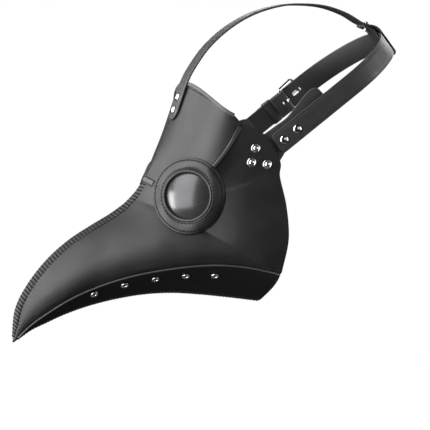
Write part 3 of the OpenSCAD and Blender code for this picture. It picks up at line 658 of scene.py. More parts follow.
def side_panel(name, side):
    s = np.concatenate([np.linspace(0, 10, 150), np.linspace(10, RIB_SEAM, 110)[1:]])[:, None]
    t = np.concatenate([[0, 0.006, 0.014], np.linspace(0.025, 0.975, 66), [0.985, 0.994, 1]])
    s, t = np.broadcast_arrays(s, t[None, :])
    n = skin_n(s, t)
    outer = skin(s, t) + n * relief(s, t)[..., None]
    outer[:, 0, 1] = 0
    # The inner face meets the other panel's on the middle plane, and the gusset's at the seam
    inward = n.copy()
    inward[:, 0] = unit(inward[:, 0] * IN_PLANE)
    lap = np.clip((RIB_BACK - s[:, -1]) * 3, 0, 1)[:, None]
    gusset_n = floor_n(np.minimum(s[:, -1], RIB_BACK - 0.01), np.zeros(len(s)))
    inward[:, -1] = unit(n[:, -1] + lap * gusset_n)
    points, faces = shell(outer, skin(s, t) - inward * LEATHER_T)
    points, faces = cut_eye(on_side(points, side), faces, side)
    finish_panel(name + "_side_panel", points, faces)


def forehead_panel():
    s = np.linspace(RIB_SEAM, RIB_HEM, 90)[:, None]
    t = np.linspace(-1, 1, 161)[None, :]
    s, t = np.broadcast_arrays(s, t)
    n = skin_n(s, t)
    outer = skin(s, t) + n * (relief(s, np.abs(t)) * 0.6)[..., None]
    points, faces = shell(outer, skin(s, t) - n * LEATHER_T)
    for side in (-1, 1):
        points, faces = cut_eye(points, faces, side)
    finish_panel("forehead_panel", points, faces)


VENT_RIB, VENT_STEP, VENT_U = 3.82, 1.06, 0.37
VENTS = [(VENT_RIB + VENT_STEP * i, VENT_U) for i in range(5)]
# Dips and swells of the gusset's leather: place, reach and depth
KEEL_DIP, SEAM_SWELL, EYELET_DIP = (0, 2.5, 0.35), (4, 3, -0.3), (4.6, 1.4, 0.35)
GUSSET_WAVE, WAVE_LONG = 0.25, 15


def gusset(name, side):
    s = np.linspace(0, RIB_BACK, 170)[:, None]
    u = np.concatenate([[0, 0.01, 0.03], np.linspace(0.06, 0.95, 26), [0.975, 0.99, 1]])[None, :]
    s, u = np.broadcast_arrays(s, u)
    n = floor_n(s, u)
    base = floor_skin(s, u)
    seam, keel = floor_skin(s, np.zeros_like(u)), floor_skin(s, np.ones_like(u))
    width = np.linalg.norm(keel - seam, axis=-1)
    dip = GUSSET_WAVE * np.sin(base[..., 0] / WAVE_LONG) * np.sin(u * np.pi)
    from_vents = [np.linalg.norm(base - floor_skin(*vent), axis=-1) for vent in VENTS]
    for away, (place, reach, depth) in (((1 - u) * width, KEEL_DIP), (u * width, SEAM_SWELL),
                                        *((d, EYELET_DIP) for d in from_vents)):
        dip += dent(away - place, reach, depth)
    dip *= np.clip(s / CALM_TIP, 0.1, 1)
    outer = base + n * dip[..., None]
    outer[:, -1, 1] = 0
    inward = n.copy()
    inward[:, -1] = unit(n[:, -1] * IN_PLANE)
    inward[:, 0] = unit(n[:, 0] + skin_n(s[:, 0], np.ones(len(s))))
    points, faces = shell(outer, base - inward * LEATHER_T)
    piece = new_piece(name + "_beak_gusset_leather", on_side(points, side), faces, GUSSET)
    clean(piece)
    round_edges(piece, GUSSET_ROUND)
    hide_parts(name + "_beak_gusset")


# ---- strips and piping

STRIP_ACROSS = np.array([-1, -0.97, -0.85, -0.5, 0, 0.5, 0.85, 0.97, 1, 0.5, -0.5])
STRIP_HEIGHT = np.array([0.15, 0.55, 0.85, 1, 1.04, 1, 0.85, 0.55, 0.15, 0, 0])


def laid_strip(name, s, t, half_w, thick, lift, material, node, side):
    """A narrow leather strip that follows the skin's curve on both sides of a line of places."""
    points, normals = skin(s, t), skin_n(s, t)
    across = unit(np.cross(unit(np.gradient(points, axis=0)), normals))
    cols = []
    for v, h in zip(STRIP_ACROSS, STRIP_HEIGHT):
        s1, t1 = walk(s, t, across * (half_w * v))
        cols.append(skin(s1, t1) + skin_n(s1, t1) * (h * thick + lift))
    grid_piece(on_side(np.stack(cols, 1), side), name, material, node)


def strip(name, points, normals, half_w, thick, lift, material, node):
    """A narrow leather strip with a softly rounded section, laid on the surface."""
    d = unit(np.gradient(points, axis=0))
    side = unit(np.cross(d, normals))
    grid = (points[:, None] + side[:, None] * (STRIP_ACROSS * half_w)[None, :, None]
            + normals[:, None] * (STRIP_HEIGHT * thick + lift)[None, :, None])
    grid_piece(grid, name, material, node)


# The bridge strip's middle line in the view in which the rings look even
BRIDGE_FROM, BRIDGE_TO = np.array([-154.5, 16.6]), np.array([-146.2, 12.1])


def bridge_rows(across, height, count=16, normals=False):
    """Rows of points along the bridge strip, from the right ring over the ridge to the left."""
    along = unit(BRIDGE_TO - BRIDGE_FROM)
    w = np.linspace(0, 1, count)[:, None, None]
    flat = (BRIDGE_FROM + (BRIDGE_TO - BRIDGE_FROM) * w
            + np.array([-along[1], along[0]]) * across[None, :, None])
    s, t = find_near(flat.reshape(-1, 2), np.zeros(3), SEEN_RIGHT, UP)
    n = skin_n(s, t).reshape(count, -1, 3)
    half = skin(s, t).reshape(count, -1, 3) + n * height[None, :, None]
    s0 = s.reshape(count, -1)[0]
    n0 = skin_n(s0, np.zeros(len(s0))) * IN_PLANE
    ridge = skin(s0, np.zeros(len(s0))) + unit(n0) * height[:, None]
    if normals:
        return np.concatenate([flipped(n)[::-1], unit(n0)[None], n])
    return np.concatenate([flipped(half)[::-1], ridge[None], half])


PAST_RING = 1.015
FOLD_START, WELT_END, STITCH_END = 0.105, 0.985, 0.97  # the folds end as the welts do


def welt_places(high, count):
    """Places along the seam between the forehead and a side panel, from the eye ring's edge up."""
    outside, inside = 0.98, 0.5
    for _ in range(16):
        mid = (outside + inside) / 2
        if ring_share(skin(RIB_SEAM, mid)) > PAST_RING:
            outside = mid
        else:
            inside = mid
    t = np.linspace(outside, high, count)
    return np.full_like(t, RIB_SEAM), t


# Half width, thickness and lift of each strip, in mm
FOLD, WELT, PIPING = (1.9, 1.0, 0.2), (1.9, 1.0, 0.15), (0.85, 1.25, 0.25)
BRIDGE_HALF, BRIDGE_T, BRIDGE_LIFT = 3.4, 0.8, 0.3


def strips():
    t = np.linspace(FOLD_START, WELT_END, 80)
    s = np.full_like(t, RIB_HEM - 0.09)
    fold, fold_n = skin(s, t), skin_n(s, t)
    for name, side in SIDES:
        strip("forehead_binding_fold_" + name, on_side(fold, side), on_side(fold_n, side),
              *FOLD, BAND, "forehead_binding")
    rows = bridge_rows(STRIP_ACROSS * BRIDGE_HALF, STRIP_HEIGHT * BRIDGE_T + BRIDGE_LIFT)
    grid_piece(rows, "bridge_strip_leather", BAND, "bridge_strip")
    s, t = welt_places(WELT_END, 40)
    ribs = np.linspace(0.3, RIB_BACK - 0.15, 150)
    seam = floor_skin(ribs, np.zeros_like(ribs))
    seam_normal = unit(skin_n(ribs, np.ones_like(ribs)) + floor_n(ribs, np.zeros_like(ribs)))
    for name, side in SIDES:
        laid_strip(name + "_seam_welt_leather", s, t, *WELT, BAND, name + "_seam_welt", side)
        strip(name + "_gusset_piping_leather", on_side(seam, side), on_side(seam_normal, side),
              *PIPING, BAND, name + "_gusset_piping")


# ---- eye rings and lenses

RING_SIDES = 144
# The ring swells over the brow, where the panels stand higher than its edge
SWELL_MID, SWELL, SWELL_NARROW = 62, 2.2, 1.6
# Heights over the skin at the outer edge, and over the eye's middle at the inner edge
OUTER_LOW, OUTER_TOP, INNER_LOW, INNER_TOP = 0.3, 1.6, 5.0, 6.8
DISH, NOSE_DISH = 1.6, 1.0  # how hollow the ring is, and how hollow beside the nose
GROOVES = ((0.2, 0.05, 0.4), (0.88, 0.045, 0.3))  # under the stitches: place, reach, depth


def ring_frame():
    """Angles round the ring and the skin's points under its outer edge, in the eye's axes."""
    a = turn(RING_SIDES)
    target = np.stack([RING_WIDE * np.cos(a), RING_TALL * np.sin(a)], -1)
    s, t = find_near(target, EYE_C, SEEN_RIGHT, UP)
    p = skin(s, t) - EYE_C
    return a, np.stack([p @ EYE_RIGHT, p[:, 2], p @ EYE_N], -1)


def ring_point(a, rim, k, low, extra=0.0):
    """Point of the dished ring: k runs from the outer edge (0) to the inner edge (1)."""
    k = np.broadcast_to(np.asarray(k, float), a.shape)
    edge = rim[:, 2] + (OUTER_LOW if low else OUTER_TOP)
    inner = INNER_LOW if low else INNER_TOP
    off = np.clip((np.degrees(a) - SWELL_MID) * SWELL_NARROW, -90, 90)
    swell = SWELL * np.cos(np.radians(off)) ** 2 * np.sin(np.pi * k)
    dish = DISH - (DISH - NOSE_DISH) * np.clip(-np.cos(a), 0, 1) ** 0.7
    h = edge + (inner - edge) * (1 - (1 - k) ** dish) + swell + extra
    x = rim[:, 0] + (RING_INNER_R * np.cos(a) - rim[:, 0]) * k
    z = rim[:, 1] + (RING_INNER_R * np.sin(a) - rim[:, 1]) * k
    return EYE_C + EYE_RIGHT * x[:, None] + UP * z[:, None] + EYE_N * h[:, None]


def eye_ring(name, side):
    a, rim = ring_frame()
    rows = []
    for k in np.concatenate([[0.0, 0.03, 0.08], np.linspace(0.14, 0.9, 14), [0.95, 0.985, 1.0]]):
        dip = sum(dent(k - place, reach, depth) for place, reach, depth in GROOVES)
        rounding = dent(k, 0.03, 0.5) + dent(1 - k, 0.03, 0.4)
        rows.append(ring_point(a, rim, k, False, dip + rounding))
    for k in (1.0, 0.5, 0.0):
        rows.append(ring_point(a, rim, k, True))
    grid = on_side(np.stack(rows, 1), side)
    grid_piece(grid, name + "_eye_ring_leather", RING, name + "_eye_ring", ring=True)


RIM_R, RIM_HEIGHT, RIM_ROLL = 24.7, 6.1, 1.4


def inner_rim(name, side):
    """Rolled leather edge round the lens, a little uneven as a hand-turned edge is."""
    a, b = turn(RING_SIDES), turn(16)
    r = RIM_R + (RIM_ROLL + 0.05 * np.sin(9 * a))[:, None] * np.cos(b)
    h = RIM_HEIGHT + (RIM_ROLL + 0.05 * np.sin(7 * a + 1))[:, None] * np.sin(b)
    grid = (EYE_C + EYE_RIGHT * (r * np.cos(a)[:, None])[..., None]
            + UP * (r * np.sin(a)[:, None])[..., None] + EYE_N * h[..., None])
    grid_piece(on_side(grid, side), name + "_inner_rim_leather", RING, name + "_inner_rim",
               ring=True)


LENS_R, DOME_R, LENS_T, LENS_BASE = 24.6, 45.0, 1.6, 1.8


def lens(name, side):
    drop = math.sqrt(DOME_R ** 2 - LENS_R ** 2)
    outer = DOME_R + LENS_T
    r = LENS_R * np.linspace(0, 1, 30)
    top = [(v, LENS_BASE - drop + math.sqrt(outer ** 2 - v * v)) for v in r]
    low = [(v, LENS_BASE - drop + math.sqrt(DOME_R ** 2 - v * v)) for v in reversed(r)]
    shape = Shape()
    shape.lathe(top + low, EYE_C, EYE_N, 96)
    shape.points = on_side(shape.points, side).tolist()
    shape.make(name + "_lens_dome", LENS, name + "_lens", sharp=60)


# ---- stitching

# Pitch, gap and thread radius of the running stitches, in mm
HEM_STITCH, BRIDGE_STITCH = (3.0, 0.6, 0.36), (3.2, 0.7, 0.5)
SEAM_STITCH, RING_STITCH = (3.2, 0.7, 0.46), (3.6, 0.8, 0.58)
# The lines that they run along: distances from a strip's middle, and heights
BRIDGE_LINES, BRIDGE_LINE_H, SEAM_LINES, RING_LINE_H = (-2.5, 2.5), 1.05, (-3.2, 3.0), -0.15
# Pitch and half width of the two laced seams
RIDGE_LACING, KEEL_LACING = (3.7, 6.6), (3.6, 3.3)
STITCH_RISE = np.array([-0.45, 0.05, 0.26, 0.32, 0.26, 0.05, -0.45])


def running_stitches(shape, points, normals, pitch, gap, radius):
    """Separate thread stitches along a line: each rises out of a hole and dips into the next."""
    run = lengths(points)
    count = max(1, int(run[-1] / pitch))
    for i in range(count):
        start = (i + 0.5) * run[-1] / count - (pitch - gap) / 2
        at = start + (pitch - gap) * np.linspace(0, 1, len(STITCH_RISE))
        line = np.stack([np.interp(at, run, points[:, k]) for k in range(3)], -1)
        nrm = unit(np.stack([np.interp(at, run, normals[:, k]) for k in range(3)], -1))
        shape.tube(line + nrm * STITCH_RISE[:, None], radius)


def ridge_stations(surface, low, high, t, pitch):
    s = np.linspace(low, high, 900)
    run = lengths(surface(s, np.full_like(s, t)))
    at = np.arange(pitch / 2, run[-1], pitch)
    return np.interp(at, run, s)


def from_middle(surface, surface_n, s, middle, sign, dist):
    """Point and normal at a distance from the middle line, on the left half."""
    s, dist = np.broadcast_arrays(np.asarray(s, float), np.asarray(dist, float))
    reach = np.linalg.norm(surface(s, np.full(s.shape, middle + sign * 0.5))
                           - surface(s, np.full(s.shape, float(middle))), axis=-1)
    local = dist * np.minimum(1, 0.8 * reach / dist.max())
    k = middle + sign * 0.5 * local / np.maximum(reach, 0.5)
    return surface(s, k), surface_n(s, k)


def both_halves(half):
    """Rows across the middle line, from points that run from the middle outwards."""
    half = half.copy()
    half[..., 0, 1] = 0
    return np.concatenate([half[..., ::-1, :], flipped(half)[..., 1:, :]], axis=-2)


PILLOW_LOW, PILLOW_RISE, PILLOW_REACH = 0.12, 0.55, 0.17
PER_STITCH = 10
LACE_R = 0.62
LACE_LIFT = np.array([0.42, 0.42, 0.42, 0.42, 0.42, 0.42, 0.4, 0.32, -0.3])


def laced_seam(name, surface, surface_n, low, high, middle, sign, pitch, reach, material):
    """Two turned edges laced together: leather pillows between the stitches, and the thread."""
    stations = ridge_stations(surface, low, high, middle, pitch)
    dist = np.concatenate([[0, 0.4, 0.9], np.linspace(1.6, reach - 0.9, 5),
                           [reach - 0.3, reach + 0.3]])
    flat = np.concatenate([np.ones(6), [0.75, 0.5, 0.15, -0.35]])
    share = np.arange(len(stations) * PER_STITCH) / PER_STITCH
    at = np.interp(share, np.arange(len(stations)), stations)
    phase = np.abs((share + 0.5) % 1 - 0.5)
    puff = PILLOW_LOW + PILLOW_RISE * (1 - np.exp(-(phase / PILLOW_REACH) ** 2))
    points, normals = from_middle(surface, surface_n, at[:, None], middle, sign, dist[None, :])
    top = points + normals * (puff[:, None] * flat)[..., None]
    under = points[:, ::-3] - normals[:, ::-3] * 0.6
    low_rows = both_halves(under[:, ::-1])[:, ::-1]
    shape = Shape()
    shape.grid(np.concatenate([both_halves(top), low_rows], 1), close_cols=True, caps=True)
    shape.make(name + "_seam_leather", material)

    thread = Shape()
    for s in stations:
        d = np.concatenate([np.linspace(0, reach, 8), [reach + 0.5]])
        p, n = from_middle(surface, surface_n, s, middle, sign, d)
        thread.tube(both_halves(p + n * LACE_LIFT[:, None]), LACE_R)
    thread.make(name + "_stitching", THREAD)


def stitching():
    laced_seam("ridge", skin, skin_n, 0.1, RIB_SEAM - 1.4, 0, 1, *RIDGE_LACING, PANEL)
    laced_seam("keel", floor_skin, floor_n, 0.3, RIB_BACK - 0.06, 1, -1, *KEEL_LACING, BAND)

    hem = Shape()
    t = np.linspace(-0.965, 0.965, 200)
    s = np.full_like(t, RIB_HEM - 0.3)
    running_stitches(hem, skin(s, t), skin_n(s, t), *HEM_STITCH)
    hem.make("hem_stitching", THREAD)

    bridge = Shape()
    edges = np.array(BRIDGE_LINES)
    lines = bridge_rows(edges, np.full(2, BRIDGE_LINE_H), 40)
    ups = bridge_rows(edges, np.zeros(2), 40, True)
    for j in range(2):
        running_stitches(bridge, lines[:, j], ups[:, j], *BRIDGE_STITCH)
    bridge.make("bridge_stitching", THREAD)

    s, t = welt_places(STITCH_END, 80)
    points, normals = skin(s, t), skin_n(s, t)
    across = unit(np.cross(unit(np.gradient(points, axis=0)), normals))
    a, rim = ring_frame()
    closed, rims = np.append(a, a[0]), np.concatenate([rim, rim[:1]])
    up = np.tile(EYE_N, (len(closed), 1))
    for name, side in SIDES:
        seam = Shape()
        for v in SEAM_LINES:
            place = walk(s, t, across * v)
            running_stitches(seam, on_side(skin(*place), side), on_side(skin_n(*place), side),
                             *SEAM_STITCH)
        seam.make(name + "_seam_stitching", THREAD)
        ring = Shape()
        for k, _, _ in GROOVES:
            line = ring_point(closed, rims, k, False, RING_LINE_H)
            running_stitches(ring, on_side(line, side), on_side(up, side), *RING_STITCH)
        ring.make(name + "_ring_stitching", THREAD)


# ---- metal fittings

SHANK_R, WASHER_R = 1.6, 3.4


def shank(grip):
    """Lower end of a rivet's profile: the shank through the leather and the washer behind it."""
    low = -grip - 0.1
    return [(SHANK_R, 0.08), (SHANK_R, low), (WASHER_R, low), (WASHER_R, low - 0.7),
            (WASHER_R - 0.3, low - 0.9), (0, low - 0.9)]


def dome_cap(radius, height, grip):
    """Profile of a domed rivet."""
    dome = [(radius * math.sin(v), 0.5 + (height - 0.5) * math.cos(v))
            for v in np.linspace(0, math.pi / 2, 10)]
    return dome + [(radius, 0.12), (radius - 0.3, 0.08)] + shank(grip)


def ring_cap(radius, grip):
    """Profile of a rivet with a raised rim, a groove and a small dome."""
    dome = [(0, 2.4), (0.9, 2.3), (1.7, 2.0), (2.3, 1.5), (2.65, 0.95), (2.8, 0.62), (3.0, 0.6)]
    rim = [(1.35, 0.95), (1.0, 1.25), (0.6, 1.3), (0.2, 1.0), (0, 0.55), (0, 0.12)]
    return dome + [(radius - inset, h) for inset, h in rim] + shank(grip)


EYELET = [(2.1, -3.1), (2.5, -3.1), (2.5, 0.12), (3.4, 0.12), (4.1, 0.15), (4.15, 0.5),
          (3.9, 0.95), (3.4, 1.25), (2.8, 1.2), (2.35, 0.8), (2.1, 0.2)]
# Cap radius, then dome height where there is one, and the leather that the shank goes through
TEMPLE_CAP, STRAP_CAP, BROW_CAP = (4.7, 6.4), (4.4, 2.5, 5.2), (4.3, 2.4)
TEMPLE_GUESS = (16, 0.85)
TEMPLE_RIVETS = [(-73, 47), (-77, 33), (-61, 31)]
STRAP_RIVETS = (0, 17.5)
FOREHEAD_RIVETS = (21.75, 22.28)
STRAP_T, STRAP_W = 2.0, 22.0
STRAP_Y, TAB_Y, BILLET_Y = 71.8, 68.6, 74.1
LIFT = STRAP_T / 2 + 0.15

SLOPE = math.radians(37.5)
LOOP_H = 70.0
LOOP_U = np.array([math.cos(SLOPE), 0, math.sin(SLOPE)])
LOOP_N = np.array([-math.sin(SLOPE), 0, math.cos(SLOPE)])
LOOP_TURN = 90.6
LOOP_Y = (BILLET_Y - STRAP_Y) / 2
LOOP_R = (BILLET_Y + STRAP_Y) / 2


def loop_place(u, y, n=0.0):
    """Point of the rear strap's frame: along the loop, sideways, across the strap's width."""
    u, y, n = [np.asarray(v, float)[..., None] for v in (u, y, n)]
    return u * LOOP_U + y * np.array([0, 1.0, 0]) + (n + LOOP_H) * LOOP_N


def rivets():
    for name, side in SIDES:
        temple, strap, vents = Shape(), Shape(), Shape()
        for x, z in TEMPLE_RIVETS:
            place = find_side(x, z, TEMPLE_GUESS)
            temple.lathe(ring_cap(*TEMPLE_CAP), on_side(skin(*place), side),
                         on_side(skin_n(*place), side))
        for u in STRAP_RIVETS:
            place = loop_place(u, side * (STRAP_Y + STRAP_T / 2))
            strap.lathe(dome_cap(*STRAP_CAP), place, (0, side, 0))
        for s, u in VENTS:
            vents.lathe(EYELET, on_side(floor_skin(s, u), side), on_side(floor_n(s, u), side))
        temple.make(name + "_temple_rivet_caps", NICKEL, name + "_temple_rivets")
        strap.make(name + "_strap_rivet_caps", NICKEL, name + "_strap_rivets")
        vents.make(name + "_vent_eyelet_rims", NICKEL, name + "_vent_eyelets")
    brow = Shape()
    for s in FOREHEAD_RIVETS:
        n = skin_n(s, 0.0)
        brow.lathe(dome_cap(*BROW_CAP, 2 * LIFT + LEATHER_T), skin(s, 0.0) + n * (2 * LIFT), n)
    brow.make("forehead_rivet_caps", NICKEL, "forehead_rivets")


# ---- straps

CORNER, CREASE_IN, CREASE_DEEP, CROWN_UP = 0.55, 1.7, 0.14, 0.05


def strap_section(half_w, thick):
    """Section of a strap: its two coordinates run across the width and through the thickness."""
    w, h, c, k = half_w, thick / 2, CORNER, CREASE_IN
    half = [(0, h + CROWN_UP), (w / 2, h + 0.03), (w - k - 0.3, h), (w - k, h - CREASE_DEEP),
            (w - k + 0.3, h), (w - c, h), (w - c * 0.3, h - c * 0.3), (w, h - c), (w, -h + c),
            (w - c * 0.3, -h + c * 0.3), (w - c, -h), (0, -h)]
    return np.array(half + [(-a, b) for a, b in half[-2:0:-1]])


def strap_sweep(name, line, start_r, end_r=0.0, across=None, node=None):
    """A flat strap along a line, with rounded corners of the given radii at its ends."""
    line = np.asarray(line, float)
    d = unit(np.gradient(line, axis=0))
    across = -LOOP_N if across is None else np.asarray(across, float)
    out = np.cross(across, d)
    run = lengths(line)
    section = strap_section(STRAP_W / 2, STRAP_T)
    rows = []
    for i in range(len(line)):
        cut = 0.0
        for dist, r in ((run[i], start_r), (run[-1] - run[i], end_r)):
            if dist < r:
                cut = max(cut, r - math.sqrt(max(r * r - (r - dist) ** 2, 0)))
        squeeze = 1 - cut / (STRAP_W / 2)
        rows.append(line[i] + section[:, :1] * squeeze * across + section[:, 1:] * out[i])
    return grid_piece(np.stack(rows), name, STRAP, node, sharp=75)


def dense_ends(low, high, near, step):
    """Places along a strap, close together near both ends where its corners are rounded."""
    head = low + near * (1 - np.cos(np.linspace(0, np.pi / 2, 9)))
    tail = high - near * (1 - np.cos(np.linspace(np.pi / 2, 0, 9)))
    middle = np.arange(low + near + step, high - near, step)
    return np.concatenate([head, middle, tail])


BILLET_TIP, STRAP_FRONT = 28.0, -9.0
BILLET_HOLES = (37, 52, 67, 82)
HOLE_L, HOLE_W, HOLE_SIDES = 11.0, 4.4, 32
END_R, TIP_R = 4.0, 10.5  # corner radii of the straps' square and rounded ends
ROW_STEP, TIP_STEP = 3, 2  # how far apart the straps' rows are
HOLE_REACH, SLOT_REACH = 4, 6  # how far the cutters stand out on both sides of the leather


def cut_with(piece, cutter):
    """Cuts a shape out of a piece."""
    tool = cutter.make(piece.name + "_cutter", STRAP)
    cut = piece.modifiers.new("holes", "BOOLEAN")
    cut.object = tool
    cut.operation = "DIFFERENCE"
    cut.solver = "EXACT"
    ready = bpy.context.evaluated_depsgraph_get()
    mesh = bpy.data.meshes.new_from_object(piece.evaluated_get(ready))
    piece.modifiers.remove(cut)
    piece.data = mesh
    mesh.shade_smooth()
    mesh.set_sharp_from_angle(angle=math.radians(SHARP))
    bpy.data.objects.remove(tool, do_unlink=True)


def rear_strap():
    front = dense_ends(STRAP_FRONT, LOOP_TURN, END_R, ROW_STEP)
    front = front[front < LOOP_TURN - 1]
    left = np.stack([front, np.full_like(front, -STRAP_Y)], -1)
    a = np.linspace(-np.pi / 2, np.pi / 2, 90)
    back = np.stack([LOOP_TURN + LOOP_R * np.cos(a), LOOP_Y + LOOP_R * np.sin(a)], -1)
    tip = dense_ends(BILLET_TIP, LOOP_TURN, TIP_R, TIP_STEP)
    tip = tip[tip < LOOP_TURN - 1][::-1]
    right = np.stack([tip, np.full_like(tip, BILLET_Y)], -1)
    path = np.concatenate([left, back, right])
    piece = strap_sweep("rear_strap_leather", loop_place(path[:, 0], path[:, 1]), END_R, TIP_R)
    holes = Shape()
    angle = turn(HOLE_SIDES)
    for u in BILLET_HOLES:
        du = HOLE_W / 2 * np.cos(angle)
        du = du + np.where(du >= 0, 1, -1) * (HOLE_L - HOLE_W) / 2
        dn = HOLE_W / 2 * np.sin(angle)
        grid = [loop_place(u + du, np.full(HOLE_SIDES, BILLET_Y + y), dn)
                for y in (-HOLE_REACH, HOLE_REACH)]
        holes.grid(np.stack(grid), close_cols=True, caps=True)
    cut_with(piece, holes)
    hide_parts("rear_strap")


ROD_R, BAR_PLAY = 1.5, 0.08
HEEL_U, FRAME_L, CHAPE_BACK = 66.0, 20.0, 14.0
BAR_Y = STRAP_Y - STRAP_T / 2 - ROD_R - BAR_PLAY
FRAME_RISE = BILLET_Y + STRAP_T / 2 + 0.3 + ROD_R - BAR_Y
BAR_SPAN = STRAP_W / 2 + 0.8 + ROD_R
PRONG_SLOT = [(-5, -2), (7, -2), (7, 2), (-5, 2)]


def chape():
    r = ROD_R + BAR_PLAY + STRAP_T / 2
    u = dense_ends(STRAP_FRONT, HEEL_U, END_R, ROW_STEP)
    u = u[u < HEEL_U - 0.5]
    a = np.linspace(np.pi / 2, -np.pi / 2, 16)
    fold = np.stack([HEEL_U + r * np.cos(a), BAR_Y + r * np.sin(a)], -1)
    back = np.linspace(HEEL_U - 0.8, HEEL_U - CHAPE_BACK, 8)
    path = np.concatenate([np.stack([u, np.full_like(u, STRAP_Y)], -1), fold,
                           np.stack([back, np.full_like(back, BAR_Y - r)], -1)])
    piece = strap_sweep("right_chape_leather", loop_place(path[:, 0], path[:, 1]), END_R)
    slot = Shape()
    slot.grid(np.stack([np.stack([loop_place(HEEL_U + du, BAR_Y + y, dn) for du, dn in PRONG_SLOT])
                        for y in (-SLOT_REACH, SLOT_REACH)]), close_cols=True, caps=True)
    cut_with(piece, slot)
    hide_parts("right_chape")


def rounded_corners(corners, steps):
    """An outline with round corners: each is given as its centre, radius and first angle."""
    rows = []
    for x, y, r, start in corners:
        a = np.radians(start + np.linspace(0, 90, steps))
        rows.append(np.stack([x + r * np.cos(a), y + r * np.sin(a), np.cos(a), np.sin(a)], -1))
    return np.concatenate(rows)


KEEPER_U, KEEPER_WIDE, KEEPER_WALL, KEEPER_R, KEEPER_EDGE = 48, 9.0, 0.8, 0.7, 0.25
KEEPER_GAP, KEEPER_SIDE_GAP = 0.35, 0.4


def keeper():
    """Small leather loop round the chape and the strap's tip."""
    gap = STRAP_T / 2 + KEEPER_GAP
    low, high, r = STRAP_Y - gap, BILLET_Y + gap, KEEPER_R
    half = STRAP_W / 2 + KEEPER_SIDE_GAP - r
    o = rounded_corners([(high - r, half, r, 0), (low + r, half, r, 90),
                         (low + r, -half, r, 180), (high - r, -half, r, 270)], 5)
    w, t, c = KEEPER_WIDE / 2, KEEPER_WALL, KEEPER_EDGE
    profile = [(-w + c, 0), (w - c, 0), (w, c), (w, t - c), (w - c, t), (-w + c, t), (-w, t - c),
               (-w, c)]
    rows = [loop_place(np.full(len(o), KEEPER_U + du), o[:, 0] + dw * o[:, 2],
                       o[:, 1] + dw * o[:, 3]) for du, dw in profile]
    grid_piece(np.stack(rows), "keeper_loop_leather", STRAP, "keeper_loop", "keeper_loop", SHARP,
               ring=True)


# The tabs' outlines: both start and end alike, and the left one reaches further up the strap
TAB_START, TAB_END = [(-81, 30), (-79, 52), (-64, 60), (-50, 69.5)], [
    (-34, 52), (-46, 34), (-56, 23), (-70, 22)]
TAB = TAB_START + [(-38, 78), (-24.5, 94), (-15, 104.5), (-8, 107.5), (-2.5, 104), (1, 96),
                   (-14, 74)] + TAB_END
TAB_SHORT = TAB_START + [(-40, 76), (-31.5, 77), (-25.5, 70), (-21.5, 62.5)] + TAB_END
TAB_RIM = ((0.6, -1.0), (0.15, -0.8), (0, -0.4), (0, 0.4), (0.15, 0.8), (0.6, 1.0))


def tab(name, side, outline):
    """Flat leather tab under the panel's edge, rounded at its rim."""
    ring = np.array(outline[-1:] + outline + outline[:2], float)
    edge = spline(ring, np.arange(1, len(outline) + 1, 0.125))
    d = unit(np.roll(edge, -1, 0) - np.roll(edge, 1, 0))
    inward = np.stack([d[:, 1], -d[:, 0]], -1)
    rows = []
    for inset, y in TAB_RIM:
        p = edge + inward * inset
        rows.append(np.stack([p[:, 0], np.full(len(p), -TAB_Y) - y, p[:, 1]], -1))
    grid_piece(on_side(np.stack(rows), side), name + "_temple_tab_leather", STRAP,
               name + "_temple_tab", sharp=SHARP)


CROWN = [(-115, 127), (-99, 148.5), (-77, 167.5), (-52, 181.5), (-24, 189.8), (0, 191.5),
         (24, 189.5), (46, 182.5)]
LAID_RIBS = (21.35, 22.1, 22.9)  # the ribs along which the top strap lies on the forehead
LOOPED_GAP = 0.2  # between the top strap's fold and the rear strap inside it
# From the place where the fold's layers meet down round the rear strap: set in, and height
OUTER_MEET, OUTER_DROP = (155.6, 28.5), ((1.2, 17), (0, 6), (0, -4))
INNER_RISE, INNER_MEET = ((0, -4), (0, 6), (0.9, 17)), (154.6, 26.2)
FOLD_BELOW = 2


def loop_point(u, n):
    p = loop_place(u, 0.0, n)
    return p[0], p[2]


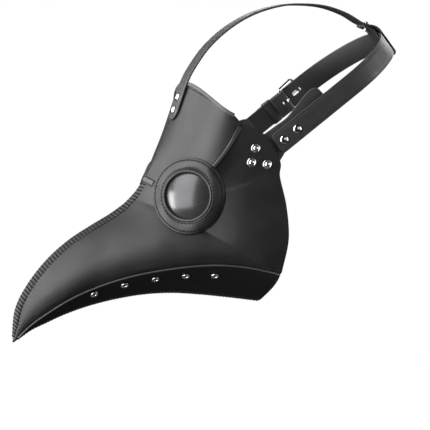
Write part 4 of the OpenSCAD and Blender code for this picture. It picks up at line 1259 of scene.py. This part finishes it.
def top_strap():
    loop_back = LOOP_TURN + LOOP_R
    fall = LOOP_R - math.sqrt(LOOP_R ** 2 - STRAP_W ** 2 / 4)
    out = loop_back + STRAP_T + LOOPED_GAP
    into = loop_back - STRAP_T - LOOPED_GAP - fall
    half = (out - into) / 2
    front = []
    for s in LAID_RIBS:
        p = skin(s, 0.0) + skin_n(s, 0.0) * LIFT
        front.append((p[0], p[2]))
    front += CROWN + [loop_point(*OUTER_MEET)] + [loop_point(out - v, n) for v, n in OUTER_DROP]
    low = -STRAP_W / 2 - FOLD_BELOW
    fold = [loop_point(into + half * (1 + math.cos(a)), low - half * math.sin(a))
            for a in np.radians(np.arange(0, 181, 12))]
    rear = [loop_point(into - v, n) for v, n in INNER_RISE] + [loop_point(*INNER_MEET)]
    path = np.concatenate([spline(np.array(front), np.linspace(0, len(front) - 1, 170)), fold,
                           spline(np.array(rear), np.linspace(0, len(rear) - 1, 24))])
    run = lengths(path)
    # Rows are close together over the rounded front end
    near = STRAP_W / 2 * (1 - np.cos(np.linspace(0, np.pi / 2, 10)))
    at = np.concatenate([near, run[run > STRAP_W / 2 + 0.5]])
    line = np.stack([np.interp(at, run, path[:, 0]), np.zeros(len(at)),
                     np.interp(at, run, path[:, 1])], -1)
    strap_sweep("top_strap_leather", line, TIP_R, across=(0, -1, 0), node="top_strap")


# ---- buckle

FRAME_CORNER, HEEL_CORNER = 3.0, 1.2
ROD_SEEN, ROD_SIDES = 1.48, 14  # a hair thinner than the frame's rod, which it hides


def buckle():
    far = math.hypot(FRAME_L, FRAME_RISE)
    c, h, span = FRAME_CORNER, HEEL_CORNER, BAR_SPAN
    o = rounded_corners([(far - c, span - c, c, 0), (h, span - h, h, 90),
                         (h, -span + h, h, 180), (far - c, -span + c, c, 270)], 7)
    line = loop_place(HEEL_U + o[:, 0] * FRAME_L / far, BAR_Y + o[:, 0] * FRAME_RISE / far, o[:, 1])
    d = unit(np.roll(line, -1, 0) - np.roll(line, 1, 0))
    flat = unit(np.cross(loop_place(FRAME_L, FRAME_RISE) - loop_place(0, 0), LOOP_N))
    side = np.cross(d, flat)
    angle = turn(ROD_SIDES)[None, :, None]
    rod = line[:, None] + ROD_SEEN * (np.cos(angle) * side[:, None] + np.sin(angle) * flat)
    grid_piece(rod, "buckle_frame_rod", NICKEL, "buckle_frame", "buckle_frame", ring=True)


def carried_over():
    """CAD nodes that stay as they are, with finer materials."""
    for node, mat in (("left_lens_retainer", PLASTIC), ("right_lens_retainer", PLASTIC),
                      ("buckle_prong", NICKEL), ("top_strap_rivet", NICKEL)):
        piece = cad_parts[node]
        piece.data.materials.clear()
        piece.data.materials.append(mat)


# ---- the whole mask

make_camera()
make_studio()
bpy.context.scene.view_settings.view_transform = "Standard"
for name, side in SIDES:
    side_panel(name, side)
    gusset(name, side)
    eye_ring(name, side)
    inner_rim(name, side)
    lens(name, side)
forehead_panel()
strips()
stitching()
rivets()
rear_strap()
chape()
keeper()
tab("left", -1, TAB)
tab("right", 1, TAB_SHORT)
top_strap()
buckle()
carried_over()
